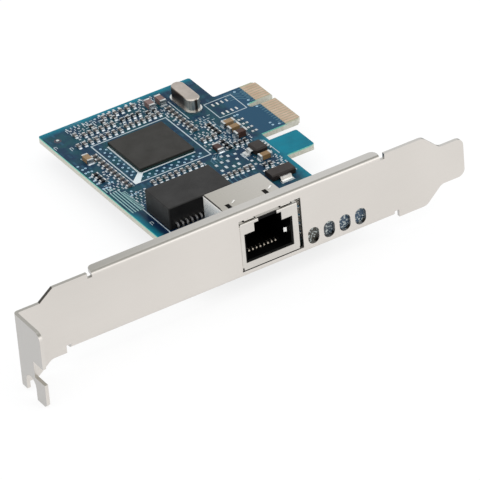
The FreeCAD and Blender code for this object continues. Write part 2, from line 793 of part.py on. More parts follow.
def make_wires():
    """Eight flat spring wires, each from its solder pin to its free end in the cavity."""
    thick = size("wire_thick")
    base = size("mouth_low + cavity_inset - wire_thick - 2 * wire_gap")
    bend = size("wire_bend_y")
    end_y = size("wire_end_y")
    end_z = size("wire_end_z")
    foot = size("board_low - pin_drop")
    made = []
    for number in range(int(size("wire_count"))):
        pin = size("pin_row_front" if number % 2 else "pin_row_rear")
        start = size(wire_centre(number)) - size("wire_width") / 2
        made.append(ribbon([
            (pin + thick / 2, foot),
            (pin + thick / 2, base + thick),
            (bend + thick * 2.2, base + thick),
            (end_y, end_z),
            (end_y - thick * 0.4, end_z + thick * 0.9),
            (bend + thick * 0.6, base + thick * 2.1),
            (bend, base + thick * 1.2),
            (bend + thick * 0.4, base),
            (pin - thick / 2, base),
            (pin - thick / 2, foot),
        ], start, size("wire_width")))
    return group("jack_contacts", made)


# Isolation transformer: moulded block with a row of gull-wing leads on each long side

def make_magnetics():
    """Moulded block with narrow bevels along its edges."""
    part = body("magnetics_body")
    base = rectangle(sketch(part, "XY", "board_top + magnetics_standoff"), "magnetics_left",
                     "magnetics_front", "magnetics_left + magnetics_length",
                     "magnetics_front + magnetics_width")
    pad(part, base, "magnetics_height - magnetics_standoff")
    soften(part, "Chamfer", "magnetics_bevel", lambda middle, run: (
        abs(run.z) > 2 or near(middle.z, "board_top + magnetics_height")))
    return part


def gull_wing(face, outward, low, high, thick, reach):
    """Side outline of one bent lead that leaves a body's face and lands on the board."""
    knee = face + outward * reach * 0.42
    heel = face + outward * reach * 0.55
    toe = face + outward * reach
    return [
        (face, high),
        (knee, high),
        (heel + outward * thick * 0.3, low + thick * 1.1),
        (toe, low + thick),
        (toe, low),
        (heel, low),
        (knee - outward * thick * 0.6, high - thick),
        (face, high - thick),
    ]


def make_magnetics_leads():
    """Twelve leads on each long side of the transformer."""
    pitch = size("magnetics_lead_pitch")
    count = int(size("magnetics_leads_a_side"))
    width = size("magnetics_lead_width")
    middle = size("magnetics_left + magnetics_length / 2")
    low = size("board_top + copper_thick")
    high = low + 1.7
    front = size("magnetics_front")
    rear = front + size("magnetics_width")
    leads = []
    for number in range(count):
        start = middle + (number - (count - 1) / 2) * pitch - width / 2
        for face, outward in ((front, -1), (rear, 1)):
            wing = gull_wing(face, outward, low, high, size("lead_thick"), 2.1)
            leads.append(ribbon(wing, start, width))
    return group("magnetics_leads", leads)


# Main controller: substrate, moulded cap and the outer row of solder balls

def make_controller():
    """Square array package standing on its solder balls."""
    half = "controller_side / 2"
    corners = ("controller_x - " + half, "controller_y - " + half, "controller_x + " + half,
               "controller_y + " + half)
    substrate = body("controller_substrate")
    level = "board_top + ball_height"
    pad(substrate, rectangle(sketch(substrate, "XY", level), *corners), "substrate_thick")
    mould = body("controller_mould")
    level = "board_top + ball_height + substrate_thick"
    pad(mould, rectangle(sketch(mould, "XY", level), *corners), "mould_thick")
    soften(mould, "Chamfer", "0.12", lambda middle, run: (
        near(middle.z, level + " + mould_thick")))
    count = int(size("balls_a_side"))
    pitch = size("ball_pitch")
    first = (count - 1) / 2 * pitch
    balls = []
    for column in range(count):
        for line in range(count):
            if 1 <= column < count - 1 and 1 <= line < count - 1:
                continue
            centre = Vector(size("controller_x") - first + column * pitch,
                            size("controller_y") - first + line * pitch, size("board_top"))
            balls.append(post(centre, size("ball_radius"), 6, size("ball_height")))
    return [substrate, mould, group("controller_solder_balls", balls)]


# Crystal: drawn can on a rimmed base, with two wires through the board

def make_crystal():
    """Low quartz crystal can lying along the board's rear edge."""
    base = body("crystal_base")
    half = "crystal_width / 2"
    reach = "(crystal_length - crystal_width) / 2"
    rim = obround(sketch(base, "XY", "board_top"), "crystal_x", "crystal_y - " + reach,
                  "crystal_y + " + reach, half)
    pad(base, rim, "crystal_rim_thick")
    can = body("crystal_can")
    wall = obround(sketch(can, "XY", "board_top + crystal_rim_thick"), "crystal_x",
                   "crystal_y - " + reach, "crystal_y + " + reach, half + " - crystal_rim")
    pad(can, wall, "crystal_height - crystal_rim_thick")
    soften(can, "Fillet", "0.45", lambda middle, run: near(middle.z, "board_top + crystal_height"))
    foot = size("board_low - pin_drop")
    wires = []
    for side in (-1, 1):
        place = size("crystal_y") + side * size("crystal_lead_spacing") / 2
        wires.append(post(Vector(size("crystal_x"), place, foot), size("crystal_lead_radius"), 8,
                            size("board_top") - foot))
    return [base, can, group("crystal_leads", wires)]


# Supply parts: a regulator and a pass transistor, each with a soldered tab

def make_regulator():
    """Surface-mount regulator with its wide tab towards the bracket."""
    part = body("regulator_body")
    left = "regulator_x - regulator_length / 2"
    front = "regulator_y - regulator_width / 2"
    plan = rectangle(sketch(part, "XY", "board_top + magnetics_standoff"), left, front,
                     left + " + regulator_length", front + " + regulator_width")
    pad(part, plan, "regulator_height - magnetics_standoff")
    soften(part, "Chamfer", "0.3", lambda middle, run: (
        near(middle.z, "board_top + regulator_height") and abs(run.x) > 1))
    low = size("board_top + copper_thick")
    high = low + size("regulator_height") * 0.55
    thick = size("lead_thick")
    face = size(front)
    tab = gull_wing(face, -1, low, high, thick, 1.75)
    width = size("regulator_tab_width")
    metal = [ribbon(tab, size("regulator_x") - width / 2, width)]
    lead = gull_wing(size(front + " + regulator_width"), 1, low, high, thick, 1.75)
    width = size("regulator_lead_width")
    for step in (-1, 0, 1):
        place = size("regulator_x") + step * size("regulator_lead_pitch") - width / 2
        metal.append(ribbon(lead, place, width))
    return [part, group("regulator_leads", metal)]


def make_transistor():
    """Smaller supply transistor with its tab towards the board's left."""
    part = body("transistor_body")
    left = "transistor_x - transistor_width / 2"
    front = "transistor_y - transistor_length / 2"
    plan = rectangle(sketch(part, "XY", "board_top + magnetics_standoff"), left, front,
                     left + " + transistor_width", front + " + transistor_length")
    pad(part, plan, "transistor_height - magnetics_standoff")
    soften(part, "Chamfer", "0.35", lambda middle, run: (
        near(middle.z, "board_top + transistor_height") or abs(run.z) > 1))
    low = size("board_top + copper_thick")
    high = low + size("transistor_height") * 0.6
    thick = size("lead_thick")
    tab = gull_wing(size(left), -1, low, high, thick, 2.0)
    width = size("transistor_tab_width")
    metal = [ribbon(tab, size("transistor_y") - width / 2, width, False)]
    lead = gull_wing(size(left + " + transistor_width"), 1, low, high, thick, 1.5)
    width = size("transistor_lead_width")
    for step in (-1, 0, 1):
        place = size("transistor_y") + step * size("transistor_lead_pitch") * 0.8 - width / 2
        metal.append(ribbon(lead, place, width, False))
    return [part, group("transistor_leads", metal)]


# Chip parts: a body between two plated ends, in rows on the board

def chip(centre_x, centre_y, length, width, height, along_x):
    """Body and two ends of one chip part that lies along X or along Y."""
    level = size("board_top + copper_thick")
    end = size("chip_end") * (1.6 if length > 2 else 1.0)
    skin = 0.02
    half = length / 2

    def box(low_run, high_run, inset):
        low_side = -width / 2 + inset
        high_side = width / 2 - inset
        top = level + height - inset
        if along_x:
            low = Vector(centre_x + low_run, centre_y + low_side, level)
            return block(low, Vector(centre_x + high_run, centre_y + high_side, top))
        low = Vector(centre_x + low_side, centre_y + low_run, level)
        return block(low, Vector(centre_x + high_side, centre_y + high_run, top))

    middle = box(-half + end, half - end, skin)
    return middle, [box(-half, -half + end, 0), box(half - end, half, 0)]


# Rows of small chips: first X, first Y, step X, step Y, count, whether each lies along X
CAPACITOR_ROWS = {
    "left of the controller": ("controller_x - 12.6", "controller_y - 11.0", 0.0, 1.8, 10, True),
    "behind the controller": ("controller_x - 13.2", "controller_y + 11.4", 1.65, 0.0, 8, False),
    "before the controller": ("controller_x - 7.3", "controller_y - 13.3", 1.6, 0.0, 9, False),
    "behind the controller, right": ("controller_x + 0.3", "controller_y + 11.8", 1.5, 0.0, 7, False),
    "right of the controller": ("controller_x + 12.3", "controller_y + 0.4", 0.0, 1.75, 8, True),
    "right of the controller, front": ("controller_x + 11.5", "controller_y - 5.0", 1.5, 0.0, 3, False),
    "rear field, middle line": ("board_left + 9.0", "board_rear - 6.8", 1.55, 0.0, 6, False),
    "rear field, last line": ("board_left + 16.5", "board_rear - 3.0", 1.65, 0.0, 6, False),
    "rear field, left": ("board_left + 7.0", "board_rear - 5.7", 1.9, 0.0, 1, False),
    "behind the socket": ("regulator_x - 11.05", "regulator_y + 6.85", 1.45, 0.0, 6, False),
}
RESISTOR_ROWS = {
    "rear field, dark line": ("board_left + 19.5", "board_rear - 6.8", 1.5, 0.0, 4, False),
    "rear field, far line": ("board_left + 12.1", "board_rear - 4.75", 3.2, 0.0, 3, False),
    "rear field, right": ("board_left + 26.0", "board_rear - 8.0", 1.7, 0.0, 2, False),
    "right of the controller, dark": ("controller_x + 16.0", "controller_y + 0.1", 0.0, -1.5, 4, True),
    "right of the controller, low": ("controller_x + 14.7", "controller_y - 8.3", 0.0, -1.7, 3, True),
    "behind the transistor": ("transistor_x - 2.95", "transistor_y + 5.05", 1.35, 0.0, 3, False),
    "behind the regulator": ("regulator_x - 0.95", "regulator_y + 5.15", 1.5, 0.0, 2, False),
    "left edge": ("board_left + 2.0", "controller_y - 1.9", 0.0, -1.7, 3, True),
}
# Larger chips: centre X, centre Y, height factor, whether each lies along X
TAN_CHIPS = {
    "supply, first": ("board_left + 38.5", "controller_y - 2.6", 1.0, True),
    "supply, second": ("board_left + 38.5", "controller_y - 5.3", 1.0, True),
    "before the transistor": ("transistor_x - 0.45", "transistor_y - 3.95", 1.0, True),
    "left edge": ("board_left + 3.8", "controller_y + 4.7", 1.0, False),
}
BROWN_CHIPS = {
    "supply, dark": ("board_left + 38.3", "controller_y - 8.5", 1.25, True),
    "rear edge, left": ("crystal_x - 7.7", "board_rear - 5.5", 1.2, False),
    "rear edge, right": ("crystal_x - 4.7", "board_rear - 5.5", 1.2, False),
    "right of the controller": ("controller_x + 12.3", "controller_y - 10.3", 0.8, False),
}


def make_chip_rows(rows, bodies_label, ends_label):
    """Small chips of one kind, row by row."""
    bodies = []
    ends = []
    for first_x, first_y, step_x, step_y, count, along_x in rows.values():
        for number in range(int(count)):
            middle, pair = chip(size(first_x) + step_x * number, size(first_y) + step_y * number,
                                size("small_chip_length"), size("small_chip_width"),
                                size("small_chip_height"), along_x)
            bodies.append(middle)
            ends.extend(pair)
    return [group(bodies_label, bodies), group(ends_label, ends)]


def make_large_chips():
    """Larger ceramic capacitors in two colours that share one group of plated ends."""
    ends = []
    made = []
    for label, chips in (("tan_capacitor_bodies", TAN_CHIPS), ("brown_capacitor_bodies", BROWN_CHIPS)):
        bodies = []
        for centre_x, centre_y, factor, along_x in chips.values():
            middle, pair = chip(size(centre_x), size(centre_y), size("large_chip_length"),
                                size("large_chip_width"), size("large_chip_height") * factor, along_x)
            bodies.append(middle)
            ends.extend(pair)
        made.append(group(label, bodies))
    return made + [group("large_capacitor_ends", ends)]


# Indicator lamps behind the four slots of the bracket

def make_indicators():
    """Chip lamps: a base plate, a clear lens with sloped shoulders and two plated ends each."""
    bases = []
    domes = []
    ends = []
    depth = size("indicator_depth")
    length = size("indicator_length")
    level = size("board_top + copper_thick")
    for number in range(int(size("indicator_count"))):
        x = size("indicator_first_x") + number * size("indicator_pitch")
        y = size("indicator_y")
        middle, pair = chip(x, y, length, depth, size("indicator_base"), True)
        bases.append(middle)
        ends.extend(pair)
        top = level + size("indicator_base")
        run = length / 2 - size("chip_end")
        tall = size("indicator_dome")
        side = [(y - depth / 2, top), (y + depth / 2, top), (y + depth / 2, top + tall * 0.6),
                (y + depth * 0.25, top + tall), (y - depth * 0.25, top + tall),
                (y - depth / 2, top + tall * 0.6)]
        domes.append(ribbon(side, x - run, run * 2))
    return [group("indicator_bases", bases), group("indicator_lenses", domes),
            group("indicator_ends", ends)]


# Printed legend, bare pads and solder on the board

def make_legend():
    """White frame and corner bar round the controller, and the lines beside other parts."""
    level = size("board_top")
    thick = size("ink_thick")
    width = size("ink_width")
    half = size("frame_side") / 2
    x = size("frame_x")
    y = size("frame_y")
    chip_left = size("controller_x - controller_side / 2")
    chip_front = size("controller_y - controller_side / 2")

    def line(low_x, low_y, high_x, high_y):
        return block(Vector(low_x, low_y, level), Vector(high_x, high_y, level + thick))

    outer = line(x - half, y - half, x + half, y + half)
    inner = line(x - half + width, y - half + width, x + half - width, y + half - width)
    frame = outer.cut(inner)
    reach = size("controller_side") - 1.0
    side = line(chip_left - width, chip_front - width, chip_left, chip_front + reach)
    foot = line(chip_left - width, chip_front - width, chip_left + reach, chip_front)
    near_x = x - half
    near_y = y - half
    bar = Part.Face(Part.makePolygon([
        Vector(near_x, near_y, level),
        Vector(near_x + 1.3, near_y, level),
        Vector(chip_left + 0.6, chip_front - width, level),
        Vector(chip_left - width, chip_front + 0.6, level),
        Vector(near_x, near_y + 1.3, level),
        Vector(near_x, near_y, level),
    ])).extrude(Vector(0, 0, thick))
    joined = frame.multiFuse([side, foot, bar]).removeSplitter()
    marks = [joined]

    def stroke(x_text, y_text, length_text):
        low_x = size(x_text)
        low_y = size(y_text)
        marks.append(line(low_x, low_y, low_x + width * 0.8, low_y + size(length_text)))

    low_x = size("board_right - 3.8")
    low_y = size("key_centre - 0.6")
    high_x = low_x + size("footprint_side")
    high_y = low_y + size("footprint_side")
    thin = width * 0.7
    outer = line(low_x, low_y, high_x, high_y)
    marks.append(outer.cut(line(low_x + thin, low_y + thin, high_x - thin, high_y - thin)))

    stroke("magnetics_left - 0.6", "magnetics_front - 3.5", "magnetics_width * 0.3")
    stroke("crystal_x - 3.1", "crystal_y - 6.2", "crystal_length - 1.2")
    stroke("board_left + 40.8", "controller_y - 6.9", "controller_side * 0.4")
    stroke("transistor_x - 4.2", "transistor_y - 2.4", "transistor_length - 0.5")
    return group("printed_legend", marks)


def make_pads():
    """Bare footprint of eight pads, a registration dot and test pads near the card edge."""
    level = size("board_top")
    thick = size("copper_thick")
    pads = []
    footprint = Vector(size("board_right - 2.3"), size("key_centre"), level)
    for number in range(4):
        for line in (0.25, 4.85):
            low = footprint + Vector(1.27 * number, line, 0)
            pads.append(block(low, low + Vector(0.45, 1.2, thick)))
    tests = Vector(size("board_right - 0.95"), size("controller_y - 8.9"), level)
    for number in range(4):
        for column in (0.0, 0.95):
            low = tests + Vector(column, 2.1 * number, 0)
            pads.append(block(low, low + Vector(0.6, 0.7, thick)))
    dot = Vector(size("board_left + 2.8"), size("board_rear - 4.5"), level)
    pads.append(post(dot, 0.4, 8, thick))
    return group("bare_pads", pads)


def make_joints():
    """Eight-sided solder cones round every pin on the underside of the board."""
    level = size("board_low")
    tall = size("pin_drop") * 0.6
    joints = []

    def cone(x, y, radius, hole):
        rings = []
        for reach, height in ((radius, level), (radius * 0.75, level - tall)):
            ring = []
            for corner in range(8):
                turn = FreeCAD.Rotation(Vector(0, 0, 1), 45 * corner)
                ring.append(Vector(x, y, height) + turn.multVec(Vector(reach, 0, 0)))
            rings.append(Part.makePolygon(ring + ring[:1]))
        joints.append(Part.makeLoft(rings, True, True).cut(hole))

    foot = level - size("pin_drop")
    for number in range(int(size("wire_count"))):
        x = size(wire_centre(number))
        y = size("pin_row_front" if number % 2 else "pin_row_rear")
        half_x = size("wire_width") / 2
        half_y = size("wire_thick") / 2
        hole = block(Vector(x - half_x, y - half_y, foot), Vector(x + half_x, y + half_y, level))
        cone(x, y, 0.75, hole)
    for side in (-1, 1):
        x = size("crystal_x")
        y = size("crystal_y") + side * size("crystal_lead_spacing") / 2
        hole = post(Vector(x, y, foot), size("crystal_lead_radius"), 8, level - foot)
        cone(x, y, 0.75, hole)
    for edge in ("jack_left", "jack_right - jack_sheet"):
        low_x = size(edge)
        y = size("shield_leg_y")
        reach = size("shield_leg_width") / 2
        hole = block(Vector(low_x, y - reach, foot), Vector(low_x + size("jack_sheet"), y + reach, level))
        cone(low_x + size("jack_sheet") / 2, y, 1.2, hole)
    return group("solder_joints", joints)


pieces = [
    make_bracket(),
    make_screws(),
    make_board(),
    make_edge_contacts("edge_contacts_top", size("board_top")),
    make_edge_contacts("edge_contacts_underside", size("board_low - copper_thick")),
    make_shield(),
    make_housing(),
    make_wires(),
    make_magnetics(),
    make_magnetics_leads(),
]
pieces += make_controller()
pieces += make_crystal()
pieces += make_regulator()
pieces += make_transistor()
pieces += make_large_chips()
pieces += make_chip_rows(CAPACITOR_ROWS, "small_capacitor_bodies", "small_capacitor_ends")
pieces += make_chip_rows(RESISTOR_ROWS, "resistor_bodies", "resistor_ends")
pieces += make_indicators()
pieces += [make_legend(), make_pads(), make_joints()]

for piece in pieces:
    piece.setExpression("Placement.Base.x", bind("-bracket_length / 2"))
    piece.setExpression("Placement.Base.y", bind("(tab_depth - board_rear) / 2"))
    piece.setExpression("Placement.Base.z", bind("outer_leg_drop"))
doc.recompute()

for item in doc.Objects:
    if "Invalid" in item.State or "Error" in item.State:
        raise ValueError("%s did not build" % item.Name)
for piece in pieces:
    if piece.Shape.isNull() or not piece.Shape.isValid():
        raise ValueError("%s is not a sound shape" % piece.Label)

os.makedirs("parts", exist_ok=True)
for piece in pieces:
    piece.Shape.exportStep("parts/%s.step" % piece.Label)
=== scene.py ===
"""Looks of the network interface card: finishes, board copper, solder, studio and camera.

Places are in the drawing's millimetres: X runs along the bracket from its left end, Y back from its
outer face and Z up from its lower edge.
"""

import logging
import math
import random
from collections.abc import Iterable, Iterator, Sequence
from dataclasses import dataclass
from enum import Enum
from functools import cache

import bmesh
import bpy
from bmesh.types import BMVert
from bpy.types import Material, NodeSocket, NodeTree, Object
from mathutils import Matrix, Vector


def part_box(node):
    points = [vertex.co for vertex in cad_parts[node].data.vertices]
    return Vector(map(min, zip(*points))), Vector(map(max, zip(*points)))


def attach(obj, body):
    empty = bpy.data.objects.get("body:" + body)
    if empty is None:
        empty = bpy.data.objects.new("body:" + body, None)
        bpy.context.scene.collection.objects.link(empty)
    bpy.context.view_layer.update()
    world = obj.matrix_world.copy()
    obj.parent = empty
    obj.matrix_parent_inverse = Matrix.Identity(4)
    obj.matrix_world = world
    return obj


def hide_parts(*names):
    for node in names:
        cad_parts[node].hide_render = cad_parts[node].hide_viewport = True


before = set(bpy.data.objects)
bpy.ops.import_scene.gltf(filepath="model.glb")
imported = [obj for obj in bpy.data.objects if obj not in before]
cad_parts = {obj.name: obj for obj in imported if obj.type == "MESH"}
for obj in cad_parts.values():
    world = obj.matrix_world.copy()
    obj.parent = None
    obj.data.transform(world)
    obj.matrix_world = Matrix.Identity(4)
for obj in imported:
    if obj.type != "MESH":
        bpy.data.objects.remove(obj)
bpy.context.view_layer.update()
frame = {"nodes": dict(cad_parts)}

Span = tuple[float, float]
Point = tuple[float, float]
Triple = tuple[float, float, float]
Quad = tuple[float, float, float, float]
Area = tuple[Span, Span]
# Parallel conductors: start, how far each stretch goes in X and Y, number, shift and width.
Bundle = tuple[Point, tuple[Point, ...], int, Point, float]

MM = 0.001
X, Y, Z = range(3)
BOARD_REAR = 78.9
BOARD_TOP = 3.08
TRACE_TOP = BOARD_TOP + 0.02
INK_TOP = BOARD_TOP + 0.025
PAD_TOP = BOARD_TOP + 0.03
# Nearly all the values of a noise lie between these.
NOISE_SPAN = (0.3, 0.7)
LOG = logging.getLogger("network_card")


class Site:
    """Where things are on the card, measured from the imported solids."""

    def __init__(self) -> None:
        """Find the drawing's origin: the bracket's left end, outer face and lower edge."""
        low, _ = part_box("bracket")
        _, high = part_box("circuit_board")
        self.origin = Vector((low.x, high.y - BOARD_REAR * MM, high.z - BOARD_TOP * MM))

    def at(self, x: float, y: float, z: float) -> Vector:
        """A place of the drawing in the card's own frame."""
        return self.origin + Vector((x, y, z)) * MM


SITE = Site()


class Kind(Enum):
    """Kinds of shader node: end of Blender's name, inputs in the order used here, output and options."""

    PLACE = ("TexCoord", (), "Object")
    NORMAL = ("TexCoord", (), "Normal")
    RAYS = ("LightPath", ())
    SPLIT = ("SeparateXYZ", (0,))
    STRETCH = ("Mapping", ("Vector", "Scale"))
    NOISE = ("TexNoise", ("Vector", "Scale", "Detail"))
    CELLS = ("TexVoronoi", ("Vector", "Scale"), "Distance",
             {"feature": "F1", "distance": "CHEBYCHEV"})
    RANGE = ("MapRange", ("Value", "From Min", "From Max", "To Min", "To Max"))
    TIMES = ("Math", (0, 1), 0, {"operation": "MULTIPLY"})
    LARGER = ("Math", (0, 1), 0, {"operation": "MAXIMUM"})
    UNSIGNED = ("Math", (0,), 0, {"operation": "ABSOLUTE"})
    MIX = ("Mix", (0, 6, 7), 2, {"data_type": "RGBA"})
    BUMP = ("Bump", ("Height", "Distance"))
    SURFACE = ("BsdfPrincipled", ())
    GLOW = ("Emission", ("Color", "Strength"))
    SKY = ("Background", ("Color", "Strength"))
    MIX_SHADER = ("MixShader", (0, 1, 2))
    MATERIAL_END = ("OutputMaterial", ("Surface",))
    WORLD_END = ("OutputWorld", ("Surface",))

    def __init__(self, ending: str, slots: tuple, output: str | int = 0,
                 options: dict | None = None) -> None:
        """Keep the parts of the kind under names.

        Args:
            ending: End of Blender's name for the node.
            slots: Inputs, by name or number, in the order in which values are given for them.
            output: Output that is linked on.
            options: Settings of the node.
        """
        self.ending = ending
        self.slots = slots
        self.output = output
        self.options = options or {}


def linear(code: str) -> Quad:
    """Turn a colour written as sRGB hex into the linear values that shaders use.

    Args:
        code: Six hex digits, such as "1f4f7a".

    Returns:
        Red, green, blue and an alpha of one.
    """
    values = [int(code[start:start + 2], 16) / 255 for start in (0, 2, 4)]
    red, green, blue = (v / 12.92 if v <= 0.04045 else ((v + 0.055) / 1.055) ** 2.4 for v in values)
    return red, green, blue, 1.0


def add_node(tree: NodeTree, kind: Kind, *values: object, output: str | int | None = None,
             **named: object) -> NodeSocket | None:
    """Add a shader node with its options, values and links.

    Args:
        tree: Node tree that gets the node.
        kind: Kind of node.
        *values: Numbers, hex colours or other nodes' outputs for the kind's inputs, in their order.
        output: The output to give back, where it isn't the kind's own.
        **named: More inputs by name, with underscores for spaces.

    Returns:
        The node's output, or None where the node has none.
    """
    made = tree.nodes.new(f"ShaderNode{kind.ending}")
    for name, value in kind.options.items():
        setattr(made, name, value)
    inputs = dict(zip(kind.slots, values)) | {name.replace("_", " "): value for name, value in named.items()}
    for slot, value in inputs.items():
        if isinstance(value, NodeSocket):
            tree.links.new(value, made.inputs[slot])
        else:
            made.inputs[slot].default_value = linear(value) if isinstance(value, str) else value
    if not made.outputs:
        return None
    return made.outputs[kind.output if output is None else output]


def seen_directly(tree: NodeTree) -> NodeSocket:
    """One for rays from the camera, a mirror or clear resin, and zero for the light that things give."""
    camera, glossy, clear = (add_node(tree, Kind.RAYS, output=name)
                             for name in ("Is Camera Ray", "Is Glossy Ray", "Is Transmission Ray"))
    return add_node(tree, Kind.LARGER, camera, add_node(tree, Kind.LARGER, glossy, clear))


@dataclass(frozen=True)
class Finish:
    """Base of every finish: a name and the patterns that its node tree is made with."""

    name: str

    def surface(self, tree: NodeTree) -> NodeSocket:
        """Make the surface shader; each finish has its own."""
        raise NotImplementedError

    def cloud(self, tree: NodeTree, size_mm: float, detail: float = 2.0,
              stretch: Triple = (1, 1, 1)) -> NodeSocket:
        """Soft noise whose patches are about size_mm across, and longer on an axis with a small stretch."""
        place = add_node(tree, Kind.STRETCH, add_node(tree, Kind.PLACE), stretch)
        return add_node(tree, Kind.NOISE, place, 1 / (size_mm * MM), detail)

    def facing(self, tree: NodeTree, axis: int) -> NodeSocket:
        """How far the surface points along an axis, from minus one to one."""
        return add_node(tree, Kind.SPLIT, add_node(tree, Kind.NORMAL), output=axis)

    def along(self, tree: NodeTree, axis: int, run: Span) -> NodeSocket:
        """Run from zero to one between two places of the drawing on an axis."""
        place = add_node(tree, Kind.SPLIT, add_node(tree, Kind.PLACE), output=axis)
        return add_node(tree, Kind.RANGE, place, *(SITE.origin[axis] + value * MM for value in run))

    def over(self, tree: NodeTree, area: Area) -> NodeSocket:
        """One over an area of the plan, from where a run along X and a run along Y have come to one."""
        return add_node(tree, Kind.TIMES, self.along(tree, X, area[0]), self.along(tree, Y, area[1]))


@cache
def build_material(finish: Finish) -> Material:
    """Build a finish's material the first time that it is asked for.

    Args:
        finish: Finish with its own node tree.

    Returns:
        The one material of that finish.
    """
    made = bpy.data.materials.new(finish.name)
    made.use_nodes = True
    made.node_tree.nodes.clear()
    add_node(made.node_tree, Kind.MATERIAL_END, finish.surface(made.node_tree))
    return made


@dataclass(frozen=True)
class SheetMetal(Finish):
    """Plated or tinned metal: a bright ground, faint rolling lines and uneven gloss."""

    colour: str = "d3cfc9"
    tarnish: str = "ccc8c2"
    gloss_low: float = 0.30
    gloss_high: float = 0.40
    # Real rolling lines lie some 0.02 mm apart. They are drawn coarser, since a pixel is 0.23 mm wide.
    grain_mm: float = 0.3
    patch_mm: float = 30.0
    relief_mm: float = 0.002
    rolled: Triple = (0.04, 1.0, 1.0)

    def ground(self, tree: NodeTree) -> NodeSocket:
        """Colour in slow patches."""
        patches = add_node(tree, Kind.RANGE, self.cloud(tree, self.patch_mm), *NOISE_SPAN)
        return add_node(tree, Kind.MIX, patches, self.colour, self.tarnish)

    def surface(self, tree: NodeTree) -> NodeSocket:
        """Metal with rolling lines along X.

        Args:
            tree: Node tree of the material.

        Returns:
            The shader.
        """
        lines = self.cloud(tree, self.grain_mm, detail=4.0, stretch=self.rolled)
        return add_node(
            tree, Kind.SURFACE, Base_Color=self.ground(tree), Metallic=1.0,
            Roughness=add_node(tree, Kind.RANGE, lines, *NOISE_SPAN, self.gloss_low, self.gloss_high),
            Normal=add_node(tree, Kind.BUMP, lines, self.relief_mm * MM, Strength=0.3),
        )


@dataclass(frozen=True)
class FoldedPlating(SheetMetal):
    """Plating on folded sheet, with painted shade and painted highlights chosen by facing: tops of folds and
    cut edges are painted greyer than the broad face, faces that point left get their own colour, and bends
    and edges that lean up and to the left are painted darker.
    """

    # Painted shade on faces that point up, darker at the left end than at the right.
    painted_top_shade_left: str = "a3a19b"
    painted_top_shade_right: str = "c3c1bd"
    painted_top_shade_run: Span = (20.0, 62.0)
    # Painted shade on the bracket's left-facing faces, a painted highlight on the shield's.
    painted_left_side: str = "bebcb9"
    # Painted shade on edges that lean up and to the left.
    painted_slant_shade: str = "4d4b47"
    # Painted shade across the bends, which narrows their highlight.
    painted_bend_shade: str = "84827c"
    upward: Span = (0.55, 0.8)
    short_of_flat: Span = (0.98, 0.88)
    leftward: Span = (-0.75, -0.97)
    half_up: Span = (0.35, 0.5)
    half_left: Span = (-0.35, -0.5)

    def ground(self, tree: NodeTree) -> NodeSocket:
        """The broad face's colour, and painted shade or a painted highlight where the sheet faces up, faces
        left, or bends.

        Args:
            tree: Node tree of the material.

        Returns:
            The colour.
        """
        # Every mix below paints light or shade by the way the surface faces.
        right, up = self.facing(tree, X), self.facing(tree, Z)
        top_shade_share = add_node(tree, Kind.RANGE, up, *self.upward)
        rolled = add_node(tree, Kind.TIMES, top_shade_share, add_node(tree, Kind.RANGE, up, *self.short_of_flat))
        slant_shade_share = add_node(tree, Kind.TIMES, add_node(tree, Kind.RANGE, up, *self.half_up),
                           add_node(tree, Kind.RANGE, right, *self.half_left))
        top = add_node(tree, Kind.MIX, self.along(tree, X, self.painted_top_shade_run), self.painted_top_shade_left, self.painted_top_shade_right)
        face = add_node(tree, Kind.MIX, add_node(tree, Kind.RANGE, right, *self.leftward),
                        super().ground(tree), self.painted_left_side)
        bend = add_node(tree, Kind.MIX, rolled, add_node(tree, Kind.MIX, top_shade_share, face, top), self.painted_bend_shade)
        return add_node(tree, Kind.MIX, slant_shade_share, bend, self.painted_slant_shade)


@dataclass(frozen=True)
class DrawnCan(SheetMetal):
    """Drawn nickel can: a satin lid over sides painted with a reflection of the parts around them, dark with
    upright bright streaks.
    """

    # Painted shade of the sides, and painted glints in streaks on them.
    shade: str = "574d46"
    glint: str = "e2dcd2"
    streak_mm: float = 0.8
    drawn: Triple = (1.0, 1.0, 0.03)
    streak_span: Span = (0.4, 0.56)
    painted_glint_run: Span = (67.4, 65.4)
    upward: Span = (0.5, 0.8)

    def ground(self, tree: NodeTree) -> NodeSocket:
        """Lid in one colour, sides in painted shade with painted glints in streaks round the front end.

        Args:
            tree: Node tree of the material.

        Returns:
            The colour.
        """
        cloud = self.cloud(tree, self.streak_mm, detail=1.0, stretch=self.drawn)
        streaks = add_node(tree, Kind.RANGE, cloud, *self.streak_span)
        bright = add_node(tree, Kind.TIMES, streaks, self.along(tree, Y, self.painted_glint_run))
        side = add_node(tree, Kind.MIX, bright, self.shade, self.glint)
        lid = add_node(tree, Kind.RANGE, self.facing(tree, Z), *self.upward)
        return add_node(tree, Kind.MIX, lid, side, super().ground(tree))


@dataclass(frozen=True)
class BentLead(SheetMetal):
    """Tinned gull-wing lead: the plating's colour at its shoulder, and painted shade on the part below it."""

    # Painted shade of the lead below its shoulder.
    painted_shank_shade: str = "8a8a86"
    shoulder: Span = (4.05, 4.35)

    def ground(self, tree: NodeTree) -> NodeSocket:
        """The plating's colour at the shoulder, painted shade below it."""
        return add_node(tree, Kind.MIX, self.along(tree, Z, self.shoulder), self.painted_shank_shade, super().ground(tree))


@dataclass(frozen=True)
class SpringWire(SheetMetal):
    """Gilt spring wire: gilt at the front bend, in painted shade farther into the socket."""

    # Painted shade of the wires inside the socket's cavity.
    painted_cavity_shade: str = "1c1509"
    behind: Span = (3.9, 4.3)

    def ground(self, tree: NodeTree) -> NodeSocket:
        """Gilt at the bend, turning to painted shade behind it."""
        return add_node(tree, Kind.MIX, self.along(tree, Y, self.behind), self.colour, self.painted_cavity_shade)


